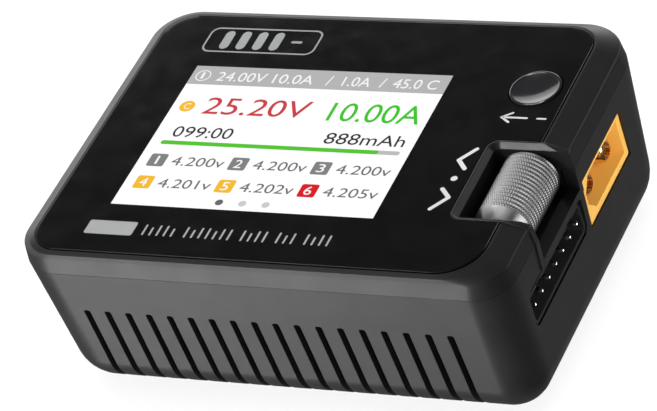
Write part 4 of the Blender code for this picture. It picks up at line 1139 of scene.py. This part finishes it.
def build_fan_rotor():
    """Make the fan's hub and its seven swept blades."""
    corner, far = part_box("fan_rotor")
    low, high = corner.z, far.z
    hub, tip, blades = 6.5 * MM, (far.x - corner.x) / 2 - 0.1 * MM, 7
    cap = [(0.0, low), (hub - 0.5 * MM, low), (hub - 0.15 * MM, low + 0.15 * MM),
           (hub, low + 0.5 * MM), (hub, high), (0.0, high)]
    wheel = turned(cap, Matrix.Identity(4), 64)
    swept = [fan_blade(2 * math.pi * number / blades, low, high, hub, tip)
             for number in range(blades)]
    piece("fan_wheel_blades", boolean(wheel, swept, "UNION"), DARK_PLASTIC,
          body="fan_wheel", replaces=["fan_rotor"])


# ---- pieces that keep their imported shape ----
def dress_packed_nodes():
    """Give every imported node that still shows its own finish."""
    numbered = {"transistor": 4, "capacitor": 3}
    looks = [(STEEL, "screen_frame roller_axle roller_carriage"), (RIBBON, "screen_ribbon"),
             (BOARD, "display_board main_board"), (HEADER_LOOK, "board_link fan_plug"),
             (DARK_PLASTIC, "exit_switch_body exit_switch_plunger roller_core fan_frame buzzer "
                            "roller_encoder_body roller_switch_plunger transistor"),
             (RUBBER, "fan_lead"), (ALUMINIUM, "heat_sink capacitor"), (FERRITE, "inductor")]
    for look, names in looks:
        for name in names.split():
            copies = range(1, numbered.get(name, 0) + 1)
            for full_name in [f"{name}_{number}" for number in copies] or [name]:
                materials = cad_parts[full_name].data.materials
                materials.clear()
                materials.append(look)


# ---- stage ----
CAMERA_PLACE = (0.259996, -0.382914, 0.360374)
CAMERA_TURN = (51.8567, 15.1906, 22.8325)       # degrees about X, Y and Z
LIGHT_TARGET = (0.0, 0.0, 0.015)


def build_camera():
    """Stand the camera where the picture was taken from."""
    data = bpy.data.cameras.new("camera")
    data.sensor_width = 36.0
    data.lens = 224.37
    data.clip_start = 0.01
    camera = bpy.data.objects.new("camera", data)
    bpy.context.scene.collection.objects.link(camera)
    camera.location = CAMERA_PLACE
    camera.rotation_euler = [math.radians(angle) for angle in CAMERA_TURN]
    bpy.context.scene.camera = camera


def hang_light(name, place, size, radiance, receivers, blockers=None):
    """Hang a soft light that shines with a given radiance on some objects only."""
    data = bpy.data.lights.new(name, "AREA")
    data.shape = "RECTANGLE"
    data.size, data.size_y = size
    data.energy = radiance * math.pi * size[0] * size[1]
    light = bpy.data.objects.new(name, data)
    bpy.context.scene.collection.objects.link(light)
    light.location = place
    away = Vector(LIGHT_TARGET) - Vector(place)
    light.rotation_euler = away.to_track_quat("-Z", "Y").to_euler()
    light.visible_camera = False
    linking = light.light_linking
    linking.receiver_collection = collected(f"{name}_receivers", receivers)
    if blockers is not None:
        linking.blocker_collection = collected(f"{name}_blockers", blockers)


def collected(name, items):
    """Put objects into a new collection."""
    group = bpy.data.collections.new(name)
    for item in items:
        group.objects.link(item)
    return group


def map_range(tree, source, start, end, low, high):
    """Turn a value between start and end into one between low and high."""
    node = add_node(tree, "MapRange", {"Value": source, "From Min": start, "From Max": end,
                                       "To Min": low, "To Max": high})
    return node.outputs["Result"]


def build_world():
    """Make a studio that is bright below the horizon and dim above and to the right."""
    world = bpy.data.worlds.new("studio")
    bpy.context.scene.world = world
    world.use_nodes = True
    tree = world.node_tree
    direction = tree.nodes.new("ShaderNodeTexCoord")
    parts = add_node(tree, "SeparateXYZ", {"Vector": direction.outputs["Generated"]})
    across, up = parts.outputs["X"], parts.outputs["Z"]
    strength = tree.nodes.new("ShaderNodeMath")
    strength.operation = "MULTIPLY"
    tree.links.new(map_range(tree, up, -0.35, -0.15, 0.15, 1.0), strength.inputs[0])
    tree.links.new(map_range(tree, across, 0.1, 0.5, 1.0, 0.25), strength.inputs[1])
    sky = ramp(tree, up, grey(0.9), grey(0.07), 0.24, 0.34)
    fill(tree, tree.nodes["Background"], {"Strength": strength.outputs["Value"], "Color": sky})


def build_floor():
    """Lay a plain white table under the charger."""
    shape = bmesh.new()
    bmesh.ops.create_grid(shape, x_segments=1, y_segments=1, size=1.5)
    mesh = bpy.data.meshes.new("table")
    shape.to_mesh(mesh)
    shape.free()
    floor = bpy.data.objects.new("table", mesh)
    bpy.context.scene.collection.objects.link(floor)
    floor.visible_glossy = False
    mesh.materials.append(surface("table_white", grey(0.88), 0.7, grain=400.0, vary=0.01,
                                  rough_vary=0.02, blotch=8.0))
    return floor


def build_lights(floor):
    """Hang the soft lights, each for the pieces that it has to show."""
    solid = [item for item in bpy.context.scene.objects if item.type == "MESH" and item != floor]

    def named(*parts):
        """Pick the pieces whose names hold one of some words."""
        return [item for item in solid if any(part in item.name for part in parts)]

    def but(items, left_out):
        """Leave some pieces out of a list."""
        return [item for item in items if item not in left_out]

    sleeve, button, sheet = named("roller_knurl"), named("exit_key_cap"), named("front_sheet")
    rims, pins = named("upper_shell", "front_sheet"), named("balance_contact")
    sockets = named("socket_body", "bullet")
    body = but(solid, sleeve + button)
    above_front, behind, low_right = (-0.28, -0.37, 0.41), (-0.32, 0.50, 0.18), (0.30, 0.45, -0.38)
    for light in (
            ("overhead", (-0.12, -0.08, 0.55), (0.55, 0.36), 0.5, solid),
            ("front_fill", (-0.36, -0.55, 0.06), (0.35, 0.2), 3.0, solid, solid),
            ("front_sheen", (-0.30, -0.42, -0.30), (0.24, 0.30), 5.2, body, solid),
            ("key_softbox", above_front, (0.12, 0.12), 43.0, but(body, sheet)),
            ("print_light", (0.0, 0.0, 0.6), (0.3, 0.3), 6.0, named("panel_mark")),
            ("right_sheen", low_right, (0.5, 0.5), 0.12, body, solid),
            ("back_rim", behind, (0.6, 0.3), 1.9, rims, solid),
            ("right_rim", (0.35, 0.45, 0.30), (0.3, 0.3), 1.3, rims, solid),
            ("sheet_edge", (0.35, 0.45, 0.30), (0.3, 0.3), 6.0, sheet),
            ("sheet_front", above_front, (0.12, 0.12), 14.0, sheet),
            ("button_box", behind, (0.6, 0.3), 2.0, button, [floor]),
            ("button_top", (-0.05, -0.25, 0.55), (0.5, 0.4), 8.0, button),
            ("button_arc", (0.03, 0.06, 0.60), (0.1, 0.1), 60.0, button),
            ("roller_box", (-0.30, 0.10, 0.42), (0.4, 0.5), 0.9, sleeve),
            ("roller_top", (0.15, -0.10, 0.50), (0.5, 0.4), 0.3, sleeve),
            ("roller_side", (0.50, -0.15, 0.12), (0.3, 0.3), 1.5, sleeve),
            ("pin_light", low_right, (0.3, 0.3), 3.0, pins, pins),
            ("table_fill", (0.0, 0.0, 1.0), (1.4, 1.4), 2.6, [floor], [floor]),
            ("table_soft", (0.1, 0.1, 0.8), (1.0, 1.0), 0.6, [floor]),
            ("socket_box", (0.5, -0.25, 0.3), (0.3, 0.3), 12.0, sockets,
             named("bullet", "upper_shell", "lower_shell"))):
        hang_light(*light)


def build_charger():
    """Make every piece of the charger."""
    build_upper_shell()
    build_lower_shell()
    build_front_panel()
    build_display()
    build_panel_marks()
    build_exit_button()
    build_roller()
    build_power_socket(1, "output")
    build_power_socket(-1, "input")
    build_balance_port()
    build_usb_socket()
    build_screws()
    build_feet()
    build_fan_rotor()
    dress_packed_nodes()


build_camera()
build_charger()
table = build_floor()
build_world()
build_lights(table)
bpy.context.scene.view_settings.view_transform = "Standard"
